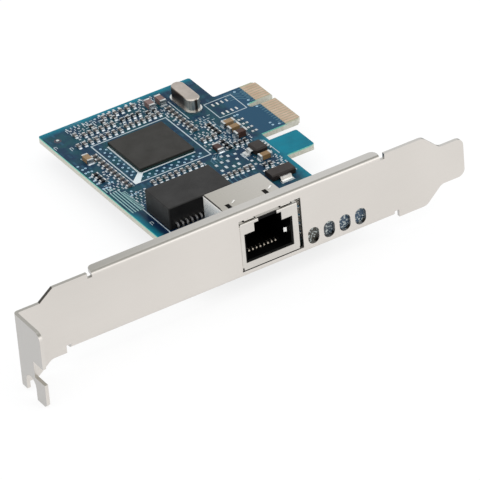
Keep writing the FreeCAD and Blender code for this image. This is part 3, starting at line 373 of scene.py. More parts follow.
@dataclass(frozen=True)
class Moulded(Finish):
    """Moulded, printed or fired surface: one ground, fine matt grain and small lighter specks."""

    colour: str = "2b2c2c"
    speck: str = "3c3d3c"
    rough: float = 0.55
    # Spark-eroded grain is some 0.03 mm across. It is drawn about as wide as a pixel, so that it shows.
    grain_mm: float = 0.18
    relief_mm: float = 0.012
    shine: float = 0.3
    handled_mm: float = 4.0
    speck_span: Span = (0.4, 0.8)
    smoother: float = 0.08
    rougher: float = 0.1

    def ground(self, tree: NodeTree, grain: NodeSocket) -> NodeSocket:
        """Ground colour with lighter specks."""
        specks = add_node(tree, Kind.RANGE, grain, *self.speck_span)
        return add_node(tree, Kind.MIX, specks, self.colour, self.speck)

    def surface(self, tree: NodeTree) -> NodeSocket:
        """Matt surface whose gloss changes a little from place to place.

        Args:
            tree: Node tree of the material.

        Returns:
            The shader.
        """
        grain = self.cloud(tree, self.grain_mm, detail=5.0)
        low, high = self.rough - self.smoother, self.rough + self.rougher
        return add_node(
            tree, Kind.SURFACE, Base_Color=self.ground(tree, grain), Specular_IOR_Level=self.shine,
            Roughness=add_node(tree, Kind.RANGE, self.cloud(tree, self.handled_mm), *NOISE_SPAN, low, high),
            Normal=add_node(tree, Kind.BUMP, grain, self.relief_mm * MM, Strength=0.6),
        )


@dataclass(frozen=True)
class Ceramic(Moulded):
    """Fired ceramic whose colour differs from batch to batch along the board."""

    other: str = "8a5d2c"
    batch: Span = (50.0, 54.0)

    def ground(self, tree: NodeTree, grain: NodeSocket) -> NodeSocket:
        """The other batch's colour in front of the change, and its own behind it."""
        mine = super().ground(tree, grain)
        return add_node(tree, Kind.MIX, self.along(tree, Y, self.batch), self.other, mine)


@dataclass(frozen=True)
class Mask(Finish):
    """Solder mask on glass fibre: satin blue over copper, teal over bare laminate, pale at the cut edges."""

    deep: str = "15324a"
    teal: str = "18444f"
    copper: str = "244e63"
    bare: str = "007488"
    plain: str = "1e465f"
    navy: str = "08203c"
    laminate: str = "a3a189"
    edge: str = "cfcec3"
    fibre: str = "b0ac9c"
    rim: str = "74c6b4"
    front: str = "1b2a24"
    # Conductors are 0.15 mm wide, too fine to show, so routed copper is drawn as patches of this size.
    route_mm: float = 1.1
    patch_mm: float = 3.2
    pour_mm: float = 2.4
    ripple_mm: float = 0.6
    ripple_deep_mm: float = 0.012
    route_stretch: Triple = (1.0, 0.4, 1.0)
    # Yarns of the glass cloth, at about their real size, where they end in the cut edge.
    yarn_mm: float = 0.3
    yarn_stretch: Triple = (1.0, 1.0, 0.25)
    yarn_shares: Span = (0.0, 0.5)
    # Values of the noises between which each pattern comes in, then the shares that it starts and ends at.
    teal_span: Span = (0.4, 0.62)
    route_span: Quad = (0.24, 0.34, 1.0, 0.0)
    pour_span: Quad = (0.42, 0.6, 0.0, 0.85)
    margin_shares: Span = (0.75, 1.0)
    upward: Span = (0.5, 0.8)
    gloss: Span = (0.75, 0.36)
    card_edge: Area = ((92.4, 93.4), (45.0, 46.0))
    contacts: Area = ((99.9, 100.05), (44.0, 46.0))
    tab: Area = ((89.8, 92.4), (46.6, 43.0))
    left_margin: Area = ((52.4, 50.6), (38.0, 34.0))
    rear_margin: Span = (76.6, 78.6)
    corner: Area = ((51.6, 52.8), (35.0, 32.0))
    corner_end: Span = (76.0, 74.0)
    rim_rise: Span = (2.66, 2.86)
    rim_end: Span = (101.0, 99.0)
    front_edge: Span = (2.2, 2.0)

    def face(self, tree: NodeTree) -> NodeSocket:
        """The masked face: uneven blue, routed copper, and teal where no copper lies below.

        Args:
            tree: Node tree of the material.

        Returns:
            The colour.
        """
        slow = self.cloud(tree, self.patch_mm)
        teal = add_node(tree, Kind.RANGE, slow, *self.teal_span)
        colour = add_node(tree, Kind.MIX, teal, self.deep, self.teal)
        stretched = add_node(tree, Kind.STRETCH, add_node(tree, Kind.PLACE), self.route_stretch)
        routes = add_node(tree, Kind.CELLS, stretched, 1 / (self.route_mm * MM))
        thick = add_node(tree, Kind.RANGE, self.cloud(tree, self.pour_mm), *self.pour_span)
        routed = add_node(tree, Kind.TIMES, add_node(tree, Kind.RANGE, routes, *self.route_span), thick)
        colour = add_node(tree, Kind.MIX, routed, colour, self.copper)
        colour = add_node(tree, Kind.MIX, self.over(tree, self.card_edge), colour, self.plain)
        uneven = add_node(tree, Kind.RANGE, slow, *NOISE_SPAN, *self.margin_shares)
        for margin in (self.over(tree, self.tab), self.over(tree, self.left_margin),
                       self.along(tree, Y, self.rear_margin)):
            colour = add_node(tree, Kind.MIX, add_node(tree, Kind.TIMES, margin, uneven), colour, self.bare)
        ahead = self.along(tree, X, self.corner_end)
        corner = add_node(tree, Kind.TIMES, self.over(tree, self.corner), ahead)
        colour = add_node(tree, Kind.MIX, corner, colour, self.navy)
        return add_node(tree, Kind.MIX, self.over(tree, self.contacts), colour, self.laminate)

    def cut(self, tree: NodeTree) -> NodeSocket:
        """The cut edge: pale glass fibre under a thin green rim of mask, and shaded behind the bracket.

        Args:
            tree: Node tree of the material.

        Returns:
            The colour.
        """
        yarn = self.cloud(tree, self.yarn_mm, detail=3.0, stretch=self.yarn_stretch)
        woven = add_node(tree, Kind.RANGE, yarn, *NOISE_SPAN, *self.yarn_shares)
        colour = add_node(tree, Kind.MIX, woven, self.edge, self.fibre)
        rise, end = self.along(tree, Z, self.rim_rise), self.along(tree, X, self.rim_end)
        colour = add_node(tree, Kind.MIX, add_node(tree, Kind.TIMES, rise, end), colour, self.rim)
        return add_node(tree, Kind.MIX, self.along(tree, Y, self.front_edge), colour, self.front)

    def surface(self, tree: NodeTree) -> NodeSocket:
        """Faces under satin mask, and matt cut edges.

        Args:
            tree: Node tree of the material.

        Returns:
            The shader.
        """
        upright = add_node(tree, Kind.UNSIGNED, self.facing(tree, Z))
        flat = add_node(tree, Kind.RANGE, upright, *self.upward)
        ripple = self.cloud(tree, self.ripple_mm, detail=3.0)
        return add_node(
            tree, Kind.SURFACE, Base_Color=add_node(tree, Kind.MIX, flat, self.cut(tree), self.face(tree)),
            Roughness=add_node(tree, Kind.RANGE, flat, 0.0, 1.0, *self.gloss), Specular_IOR_Level=0.08,
            Normal=add_node(tree, Kind.BUMP, ripple, self.ripple_deep_mm * MM, Strength=0.5),
        )


@dataclass(frozen=True)
class Resin(Finish):
    """Clear cast resin of the lamps, painted with glints as specks and with the colours that show through it.
    """

    glint: str = "c3ccca"
    # Painted colours of what shows through the resin: the socket's grey near it, the board's blue farther on.
    near: str = "45433b"
    far: str = "2a4760"
    # Glints are finer than this in a real lamp. They are drawn wider than a pixel, so that they show.
    speck_mm: float = 0.55
    speck_span: Span = (0.52, 0.6)
    gloss: Span = (0.18, 0.4)
    row: Span = (79.0, 86.0)

    def surface(self, tree: NodeTree) -> NodeSocket:
        """Painted glints as specks, on a ground painted with the socket's grey and, farther on, the board's
        blue that show through the resin.

        Args:
            tree: Node tree of the material.

        Returns:
            The shader.
        """
        specks = add_node(tree, Kind.RANGE, self.cloud(tree, self.speck_mm, detail=4.0), *self.speck_span)
        painted_see_through = add_node(tree, Kind.MIX, self.along(tree, X, self.row), self.near, self.far)
        return add_node(
            tree, Kind.SURFACE, Base_Color=add_node(tree, Kind.MIX, specks, painted_see_through, self.glint),
            Roughness=add_node(tree, Kind.RANGE, specks, 0.0, 1.0, *self.gloss),
            Transmission_Weight=0.1, IOR=1.5,
        )


@dataclass(frozen=True)
class Paper(Finish):
    """The studio floor: white paper that is seen nearly white, with a faint shadow of the card."""

    colour: str = "fbfbfb"
    mottle: str = "f9f9f9"
    mottle_mm: float = 60.0
    glow: float = 0.8

    def surface(self, tree: NodeTree) -> NodeSocket:
        """Matt white ground that glows a little where it is seen.

        Args:
            tree: Node tree of the material.

        Returns:
            The shader.
        """
        cloud = add_node(tree, Kind.RANGE, self.cloud(tree, self.mottle_mm), *NOISE_SPAN)
        colour = add_node(tree, Kind.MIX, cloud, self.colour, self.mottle)
        paper = add_node(tree, Kind.SURFACE, Base_Color=colour, Roughness=0.9, Specular_IOR_Level=0.1)
        share = add_node(tree, Kind.TIMES, seen_directly(tree), self.glow)
        return add_node(tree, Kind.MIX_SHADER, share, paper, add_node(tree, Kind.GLOW, "ffffff", 1.0))


class Look(Enum):
    """The finishes that the card's pieces choose from."""

    # Nickel on rolled steel: a pale warm mirror, blurred by the rolling lines, with painted shade on its
    # tops, bends, leaning edges and left-facing tab.
    BRACKET = FoldedPlating("bracket_plating", "e0dbd5", "d9d4ce")
    # Tin on folded strip: satin and a little darker than the bracket, with a painted highlight on its left
    # side and painted shade on its top and bends.
    SHIELD = FoldedPlating("satin_tin", "dcd8d2", "d0ccc6", 0.26, 0.34, 0.5, 12.0, 0.0006, painted_top_shade_left="b0ada5",
                           painted_top_shade_right="c1beb8", painted_top_shade_run=(59.0, 75.0), painted_left_side="fbf9f5", painted_bend_shade="a6a49e")
    POLISHED = SheetMetal("polished_tin", "f6f5f2", "e2e1de", 0.2, 0.3, 0.3, 2.0)
    # Matt tin plating on terminals and leads: light grey with dull patches.
    TINNED = SheetMetal("tinned_lead", "dfe1df", "b6b9b9", 0.22, 0.4, 0.3, 1.5)
    FORMED = BentLead("formed_lead", "ffffff", "f6f6f4", 0.36, 0.46, 0.3, 1.5)
    # Reflowed solder: bluish and bright, uneven where it froze.
    SOLDER = SheetMetal("bright_solder", "dbe2e6", "a3acb2", 0.25, 0.48, 0.3, 0.8, 0.02)
    CAN = DrawnCan("crystal_nickel", "bbb2aa", "a8a098", 0.3, 0.4, 0.4, 2.0)
    # Hard gold over nickel: pale, pinkish and satin.
    GILT = SheetMetal("edge_gilt", "c8b29e", "baa089", 0.32, 0.5, 0.3, 2.0)
    WIRE = SpringWire("gilt_spring_wire", "aea598", gloss_low=0.32, gloss_high=0.45)
    # Moulded epoxy of the chips: near black and matt, with a grey grain.
    EPOXY = Moulded("transformer_epoxy", "141414", "262524", 0.5)
    BROWN_EPOXY = Moulded("brown_epoxy", "211b18", "302825", 0.5)
    MOULD = Moulded("controller_mould", "1c1b17", "272521", 0.5, 0.14)
    # Moulded nylon: black, darkened further as painted shade of the socket's cavity; it also colours the
    # strips and discs of painted shade in gaps and holes.
    NYLON = Moulded("socket_nylon", "030303", "080808", 0.5, shine=0.12)
    LAMINATE = Moulded("substrate_laminate", "14302c", "1f4a40", 0.5)
    # Fired titanate of the capacitors: tan, brown or grey, dull as earthenware.
    TAN = Ceramic("tan_titanate", "826a4d", "9c8262", 0.5, 0.2, other="7f6442", batch=(51.0, 54.0))
    BROWN = Ceramic("brown_titanate", "705a57", "866e69", 0.5, 0.2, other="3c2620", batch=(55.0, 65.0))
    BEIGE = Moulded("grey_titanate", "53504f", "726e6b", 0.5, 0.2)
    # Glass glaze of the resistors: black with a slight gloss.
    GLAZE = Moulded("black_glaze", "0c0d10", "1c1e22", 0.4)
    LAMP_BASE = Moulded("lamp_base", "8d938a", "6f776f", 0.5)
    RING = Moulded("bare_ring", "35303f", "453d4a", 0.4)
    # Screened ink: thin strokes let the blue through. The thick print is whiter, partly from its thicker ink
    # and partly as painted light against the shade that the controller casts.
    INK = Moulded("screen_ink", "b3c0c6", "9aaab2", 0.6, 0.15)
    BRIGHTENED_INK = Moulded("brightened_screen_ink", "d2dbdd", "c6d0d3", 0.6, 0.15)
    MASK = Mask("solder_mask")
    # Copper under mask: lighter blue lines with the mask's satin gloss.
    TENTED = Moulded("tented_ring", "a3c4d6", "88acc2", 0.4, 0.5, 0.004)
    TRACE = Moulded("masked_copper", "3d6a7c", "2d5668", 0.36, 0.5, 0.004)
    PALE_TRACE = Moulded("pale_masked_copper", "8fb4b2", "6f9b9d", 0.36, 0.5, 0.004)
    DOME = Resin("lamp_dome")
    FLOOR = Paper("studio_floor")

    def material(self) -> Material:
        """The material of this finish."""
        return build_material(self.value)


NODE_LOOKS = {
    "bracket": Look.BRACKET,
    "bracket_screws": Look.TINNED,
    "circuit_board": Look.MASK,
    "edge_contacts_top": Look.GILT,
    "edge_contacts_underside": Look.GILT,
    "jack_shield": Look.SHIELD,
    "jack_housing": Look.NYLON,
    "jack_contacts": Look.WIRE,
    "magnetics_body": Look.EPOXY,
    "magnetics_leads": Look.FORMED,
    "controller_substrate": Look.LAMINATE,
    "controller_mould": Look.MOULD,
    "controller_solder_balls": Look.SOLDER,
    "crystal_base": Look.TINNED,
    "crystal_can": Look.CAN,
    "crystal_leads": Look.TINNED,
    "regulator_body": Look.BROWN_EPOXY,
    "regulator_leads": Look.POLISHED,
    "transistor_body": Look.BROWN_EPOXY,
    "transistor_leads": Look.TINNED,
    "tan_capacitor_bodies": Look.TAN,
    "brown_capacitor_bodies": Look.BROWN,
    "large_capacitor_ends": Look.TINNED,
    "small_capacitor_bodies": Look.BEIGE,
    "small_capacitor_ends": Look.TINNED,
    "resistor_bodies": Look.GLAZE,
    "resistor_ends": Look.TINNED,
    "indicator_bases": Look.LAMP_BASE,
    "indicator_lenses": Look.DOME,
    "indicator_ends": Look.TINNED,
    "printed_legend": Look.INK,
    "bare_pads": Look.TINNED,
    "solder_joints": Look.SOLDER,
}
CHIP_NODES = ("small_capacitor_bodies", "resistor_bodies", "tan_capacitor_bodies", "brown_capacitor_bodies")
TALL_NODES = ("magnetics_body", "magnetics_leads", "controller_substrate", "jack_shield", "crystal_base",
              "regulator_body", "regulator_leads", "transistor_body", "transistor_leads")


class Piece:
    """Mesh that is put together from simple solids and then finished as one object."""

    # Section of a solder fillet, in shares of its run and height.
    FILLET = ((0.0, 0.0), (1.0, 0.0), (0.35, 0.42), (0.0, 1.0))
    # Least cosine at a strip's corner, so that a sharp turn has no long spike.
    MITRE = 0.4

    def __init__(self) -> None:
        """Start an empty mesh."""
        self.mesh = bmesh.new()

    def corners(self, places: Iterable[Triple]) -> list[BMVert]:
        """Add a corner at each place of the drawing."""
        return [self.mesh.verts.new(SITE.at(*place)) for place in places]

    def band(self, first: list[BMVert], second: list[BMVert]) -> None:
        """Add the faces between two loops that have as many corners, in the same order."""
        for face in zip(first, first[1:] + first[:1], second[1:] + second[:1], second):
            self.mesh.faces.new(face)

    def solid(self, first: list[BMVert], second: list[BMVert]) -> None:
        """Add the faces over two loops, and those between them.

        Args:
            first: Corners of one end.
            second: As many corners of the other end, in the same order.
        """
        for face in (first[::-1], second):
            self.mesh.faces.new(face)
        self.band(first, second)

    def prism(self, outline: Sequence[Point], top: float, base: float = BOARD_TOP) -> None:
        """Add an upright prism over a plan outline."""
        self.solid(*(self.corners((x, y, level) for x, y in outline) for level in (base, top)))

    def plate(self, low_x: float, low_y: float, high_x: float, high_y: float, top: float,
              base: float = BOARD_TOP) -> None:
        """Add a rectangular plate."""
        self.prism([(low_x, low_y), (high_x, low_y), (high_x, high_y), (low_x, high_y)], top, base)

    def circle(self, x: float, y: float, radius: float, sides: int) -> list[Point]:
        """Corners of a round outline."""
        turns = [2 * math.pi * index / sides for index in range(sides)]
        return [(x + radius * math.cos(turn), y + radius * math.sin(turn)) for turn in turns]

    def ring(self, x: float, y: float, outer: float, inner: float, top: float) -> None:
        """Add a flat ring of twelve sides on the board.

        Args:
            x: Place of its middle along the bracket.
            y: Place of its middle behind the bracket.
            outer: Radius of its rim.
            inner: Radius of its bore.
            top: Level of its top.
        """
        loops = [self.corners((*point, level) for point in self.circle(x, y, radius, 12))
                 for radius, level in ((outer, BOARD_TOP), (outer, top), (inner, top), (inner, BOARD_TOP))]
        for index, loop in enumerate(loops):
            self.band(loop, loops[(index + 1) % len(loops)])

    def strip(self, points: Sequence[Point], width: float, top: float, base: float = BOARD_TOP) -> None:
        """Add a flat conductor of one width along a path.

        Args:
            points: Places that its middle goes through.
            width: Width across.
            top: Level of its top.
            base: Level of its underside.
        """
        left, right = [], []
        last = len(points) - 1
        for index, point in enumerate(points):
            before, after = (Vector(points[place]) for place in (max(index - 1, 0), min(index + 1, last)))
            here = Vector(point)
            into = (here - before if index else after - here).normalized()
            away = (after - here).normalized() if index < last else into
            middle = (into + away).normalized()
            side = Vector((-middle.y, middle.x))
            reach = width / 2 / max(self.MITRE, side.dot(Vector((-into.y, into.x))))
            left.append(tuple(here + side * reach))
            right.append(tuple(here - side * reach))
        self.prism(right + left[::-1], top, base)

    def wedge(self, centre: Vector, outward: Vector, run: float, width: float, tall: float,
              base: float) -> None:
        """Add a solder fillet that falls from a chip's end to the board.

        Args:
            centre: Middle of its root in plan.
            outward: Direction away from the chip.
            run: Length of its foot.
            width: Width across.
            tall: Height at the chip.
            base: Level of its foot.
        """
        side = Vector((-outward.y, outward.x)) * width / 2
        loops = []
        for reach in (-side, side):
            spots = [(centre + outward * run * out + reach, base + tall * up) for out, up in self.FILLET]
            loops.append(self.corners((spot.x, spot.y, level) for spot, level in spots))
        self.solid(*loops)

    def finish(self, name: str, look: Look, slot: str, bevel_mm: float = 0.0) -> Object:
        """Turn the mesh into a piece of the card.

        Args:
            name: Name of the piece.
            look: Finish that it gets.
            slot: Material slot of the record that it takes its finish from; not used.
            bevel_mm: Width of the rounding along its edges, none if zero.

        Returns:
            The new object, riding on the card.
        """
        bmesh.ops.recalc_face_normals(self.mesh, faces=self.mesh.faces)
        data = bpy.data.meshes.new(name)
        self.mesh.to_mesh(data)
        self.mesh.free()
        data.materials.append(look.material())
        made = bpy.data.objects.new(name, data)
        bpy.context.scene.collection.objects.link(made)
        if bevel_mm:
            round_edges(made, bevel_mm)
        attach(made, "root")
        LOG.info("%s: %d faces", name, len(data.polygons))
        return made


def round_edges(piece: Object, width_mm: float) -> None:
    """Round the sharp edges of a piece so that they catch the light.

    Args:
        piece: Object that gets the modifier.
        width_mm: Width of the rounding.
    """
    bevel = piece.modifiers.new("edge_rounding", "BEVEL")
    bevel.width = width_mm * MM
    bevel.segments = 2
    bevel.limit_method = "ANGLE"
    bevel.angle_limit = math.radians(40)


@dataclass
class Dressing:
    """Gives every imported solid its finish."""

    nodes: dict[str, Object]

    def build(self) -> None:
        """Assign the finishes."""
        for name, look in NODE_LOOKS.items():
            data = self.nodes[name].data
            data.materials.clear()
            data.materials.append(look.material())
            LOG.info("%s: %s", name, look.name.lower())


@dataclass
class Chip:
    """One chip part as it lies on the board: middle, direction, and half its length with its ends."""

    centre: Vector
    along: Vector
    reach: float
    width: float
    height: float


@dataclass
class ChipSolder:
    """Pads and solder fillets under and at the ends of the chip parts.

    The last four sizes are shares of the chip's width, of the pad's reach, of the width and of the height.
    """

    nodes: dict[str, Object]
    weld: float = 1e-6
    small_end: float = 0.32
    large_end: float = 0.51
    large_from: float = 1.8
    end_play: float = 0.04
    pad_reach: float = 0.34
    pad_under: float = 0.35
    fillet_gap: float = 0.005
    pad_side: float = 0.56
    fillet_run: float = 0.8
    fillet_width: float = 0.9
    fillet_height: float = 0.6

    def islands(self, node: str) -> list[list[Vector]]:
        """Find the corners of each separate solid of a node.

        Args:
            node: Name of the node.

        Returns:
            A list of corners for each solid.
        """
        data = bmesh.new()
        data.from_mesh(self.nodes[node].data)
        bmesh.ops.remove_doubles(data, verts=data.verts, dist=self.weld)
        left = set(data.verts)
        found = []
        while left:
            stack = [left.pop()]
            found.append([])
            while stack:
                vert = stack.pop()
                found[-1].append(vert.co.copy())
                joined = left.intersection(edge.other_vert(vert) for edge in vert.link_edges)
                left -= joined
                stack.extend(joined)
        data.free()
        return found

    def chips(self, node: str) -> list[Chip]:
        """Measure each chip body of a node.

        Args:
            node: Name of the node.

        Returns:
            The chips.
        """
        found = []
        for island in self.islands(node):
            low, high = (Vector([pick(corner[axis] for corner in island) for axis in range(3)]) - SITE.origin
                         for pick in (min, max))
            span, centre = (high - low) / MM, (high + low) / (2 * MM)
            length, width = max(span.xy), min(span.xy)
            end = self.large_end if length > self.large_from else self.small_end
            along = Vector((1, 0)) if span.x > span.y else Vector((0, 1))
            found.append(Chip(centre.xy, along, length / 2 + end, width + self.end_play, span.z))
        return found

    def build(self) -> None:
        """Make one piece of pads and one of fillets for all the chips."""
        pads, fillets = Piece(), Piece()
        chips = [chip for node in CHIP_NODES for chip in self.chips(node)]
        for chip, outward in ((chip, chip.along * sign) for chip in chips for sign in (-1, 1)):
            side = Vector((-outward.y, outward.x)) * chip.width * self.pad_side
            root = chip.centre + outward * (chip.reach - self.pad_under)
            tip = chip.centre + outward * (chip.reach + self.pad_reach)
            outline = [tuple(corner) for corner in (root - side, tip - side, tip + side, root + side)]
            pads.prism(outline, PAD_TOP)
            fillets.wedge(chip.centre + outward * (chip.reach + self.fillet_gap), outward,
                          self.pad_reach * self.fillet_run, chip.width * self.fillet_width,
                          chip.height * self.fillet_height, PAD_TOP)
        pads.finish("chip_pads", Look.SOLDER, "solder")
        fillets.finish("chip_fillets", Look.SOLDER, "solder")


@dataclass
class BoardCopper:
    """Conductors, plated holes, printed lines and bare pads on the component side."""

    hole: float = 0.1
    hole_rim: float = 0.31
    chip_left: float = 61.4
    chip_front: float = 49.7
    chip_side: float = 15.0
    # The thick line runs between these distances from the controller.
    line_far: float = 0.42
    line_near: float = 0.04
    line_short: float = 0.3
    thick_ink: float = 0.05
    # Outline of the bar, from the controller's corner.
    bar: tuple[Point, ...] = ((-3.45, -3.6), (-2.15, -3.6), (0.6, -0.3), (-0.3, 0.6), (-3.45, -2.3))
    bar_ink: float = 0.045
    transformer_middle: float = 62.8
    lead_pitch: float = 1.27
    lead_rows: tuple[Span, ...] = ((21.6, 23.1), (35.9, 37.2))
    pad_half: float = 0.33
    rear_pads: tuple[float, ...] = (66.6, 67.9, 69.5, 70.7, 72.2, 74.2, 75.5, 78.0)
    # Pads of the supply chips: middle along X, half the width, near and far end.
    supply_pads: tuple[Quad, ...] = (
        (84.8, 0.35, 44.0, 44.5), (86.4, 0.35, 44.0, 44.5), (88.0, 0.35, 44.0, 44.5),
        (87.05, 1.75, 24.75, 26.0), (85.3, 1.1, 39.8, 41.9),
    )
    # Holes by themselves, in the left margin, in front of the controller and at the card edge.
    lone_holes: tuple[Point, ...] = (
        (51.0, 49.2), (51.9, 49.2), (52.6, 49.1), (53.3, 50.5), (54.1, 50.5), (50.95, 51.9), (51.65, 51.9),
        (52.6, 52.6), (51.0, 53.5), (51.7, 53.5), (52.4, 53.6), (50.95, 55.4), (51.65, 55.4), (52.5, 55.4),
        (54.9, 42.6), (55.8, 42.7), (56.6, 42.8), (55.6, 44.2), (92.2, 57.2), (93.0, 57.2), (97.9, 66.4),
        (51.1, 57.6), (51.9, 57.7), (52.7, 57.5), (51.3, 59.4), (52.2, 59.6), (51.1, 61.3), (98.6, 61.2),
        (97.6, 59.6), (98.7, 57.5), (97.3, 49.3), (97.3, 48.1), (98.8, 47.6), (66.9, 75.2),
    )
    pale_bundles: tuple[Bundle, ...] = (
        ((51.2, 35.9), ((0, 10.6),), 4, (0.72, 0), 0.26),
        ((53.55, 36.33), ((1.0, 0),), 15, (0, 0.62), 0.26),
        ((50.9, 47.2), ((0, 2.0),), 3, (0.75, 0), 0.26),
    )
    masked_bundles: tuple[Bundle, ...] = (
        ((77.2, 42.0), ((0, 1.6), (1.6, 1.6)), 4, (0.8, 0), 0.22),
        ((99.9, 62.2), ((-1.6, 0), (-1.4, 1.4), (-2.0, 0)), 4, (0, 1.0), 0.22),
        ((84.2, 62.0), ((0, -3.0), (1.6, -1.6)), 3, (0.6, 0), 0.22),
        ((58.6, 76.4), ((0, 1.6), (-1.2, 0.6)), 4, (1.0, 0), 0.22),
        ((75.0, 32.2), ((0, 1.6), (1.4, 1.4)), 5, (1.3, 0), 0.22),
        ((84.6, 50.0), ((0, 4.0), (1.0, 1.0), (0, 3.0)), 3, (0.55, 0), 0.22),
        ((60.4, 50.6), ((0, 13.0),), 2, (0.4, 0), 0.16),
    )
    # Printed lines, as width and path, and the path of a small mark from each of its places.
    ink_lines: tuple[tuple[float, tuple[Point, ...]], ...] = (
        (0.24, ((53.78, 22.6), (53.78, 36.0))),
        (0.22, ((90.2, 49.6), (91.2, 51.2), (91.25, 55.9), (90.8, 56.9), (88.6, 57.4))),
        (0.2, ((91.9, 36.6), (91.9, 43.6), (91.2, 44.2))),
    )
    small_mark: tuple[Point, ...] = ((-0.3, -0.7), (-0.3, 0.7), (0.3, 0.7), (0.3, -0.2))
    small_marks: tuple[Point, ...] = (
        (51.1, 71.4), (54.0, 68.8), (57.1, 76.2), (61.8, 76.2), (64.2, 75.6), (52.4, 29.3),
    )
    # Pads in the free field right of the transformer: X and Y of the near side, and length.
    field_pads: tuple[Triple, ...] = (
        (77.15, 40.6, 0.9), (77.1, 37.9, 0.9), (78.7, 38.5, 1.2), (80.35, 37.8, 1.0), (81.8, 38.0, 1.0),
        (82.6, 40.2, 0.8), (78.9, 41.1, 0.9), (80.4, 40.7, 1.0), (81.6, 42.6, 0.9), (80.2, 43.4, 0.8),
        (78.4, 43.6, 0.8), (83.4, 42.4, 0.7), (84.9, 37.4, 0.7), (84.9, 35.6, 0.7), (83.0, 36.2, 0.8),
    )

    def bundle(self, piece: Piece, start: Point, steps: Sequence[Point], count: int, pitch: Point,
               width: float) -> None:
        """Run a bundle of parallel conductors over the board.

        Args:
            piece: Piece that gets them.
            start: Where the first one starts.
            steps: How far each stretch goes in X and Y.
            count: Number of conductors.
            pitch: Shift in X and Y from one to the next.
            width: Width of each.
        """
        for number in range(count):
            points = [(start[0] + pitch[0] * number, start[1] + pitch[1] * number)]
            for across, back in steps:
                points.append((points[-1][0] + across, points[-1][1] + back))
            piece.strip(points, width, TRACE_TOP)

    def traces(self) -> None:
        """Conductors that show as paler lines under the mask."""
        for name, look, bundles in (("edge_conductors", Look.PALE_TRACE, self.pale_bundles),
                                    ("masked_conductors", Look.TRACE, self.masked_bundles)):
            piece = Piece()
            for bundle in bundles:
                self.bundle(piece, *bundle)
            piece.finish(name, look, "board_mask")

    def holes(self) -> None:
        """Plated holes, as rings round a black disc of painted shade in the bore: alone, and in zigzag rows
        by the controller.
        """
        rings, bore_shades = Piece(), Piece()
        left_row = [(59.3 + step % 2, 50.2 + 1.03 * step) for step in range(15)]
        front_row = [(61.0 + step, 48.1 - 1.05 * (step % 2)) for step in range(17)]
        for x, y in (*self.lone_holes, *left_row, *front_row):
            rings.ring(x, y, self.hole_rim, self.hole, PAD_TOP)
            # Painted shade: a black disc stands in for the shade inside each bore.
            bore_shades.prism(bore_shades.circle(x, y, self.hole, 8), BOARD_TOP + 0.012)
        rings.finish("hole_rings", Look.TENTED, "board_mask")
        bore_shades.finish("hole_bore_shades", Look.NYLON, "black_nylon")

    def marks(self) -> None:
        """Printed lines beside the transformer and the supply chips, and small marks by the small parts."""
        ink = Piece()
        for width, points in self.ink_lines:
            ink.strip(points, width, INK_TOP)
        for x, y in self.small_marks:
            ink.strip([(x + across, y + back) for across, back in self.small_mark], 0.16, INK_TOP)
        ink.finish("printed_marks", Look.INK, "legend_ink")

    def thick_lines(self) -> None:
        """The thicker print, in a whiter ink that is partly painted light: two lines along the controller,
        and the bar from its corner to the frame.
        """
        thick = Piece()
        left, front, side = self.chip_left, self.chip_front, self.chip_side
        far, near, top = self.line_far, self.line_near, BOARD_TOP + self.thick_ink
        thick.plate(left - far, front - far, left - near, front + side - self.line_short, top)
        thick.plate(left - near, front - far, left + side, front - near, top)
        thick.prism([(left + across, front + back) for across, back in self.bar], BOARD_TOP + self.bar_ink)
        thick.finish("thick_legend", Look.BRIGHTENED_INK, "legend_ink")

    def pads(self) -> None:
        """Bare tinned pads with nothing on them, the footprints of the larger parts, and the dot's ring."""
        bare = Piece()
        plates = []
        for number in range(12):
            x = self.transformer_middle + (number - 5.5) * self.lead_pitch
            plates += [(x, self.pad_half, near, far) for near, far in self.lead_rows]
        plates += [(x, 0.28, 77.3, 78.1) for x in self.rear_pads]
        plates += [(x, self.pad_half, y, y + length) for x, y, length in self.field_pads]
        for x, half, near, far in (*plates, *self.supply_pads):
            bare.plate(x - half, near, x + half, far, PAD_TOP)
        bare.finish("bare_footprints", Look.SOLDER, "solder")
        ring = Piece()
        ring.ring(53.1, 74.2, 0.95, 0.5, BOARD_TOP + 0.008)
        ring.finish("registration_ring", Look.RING, "board_mask")

    def build(self) -> None:
        """Make all the copper and print."""
        for step in (self.traces, self.holes, self.marks, self.thick_lines, self.pads):
            step()


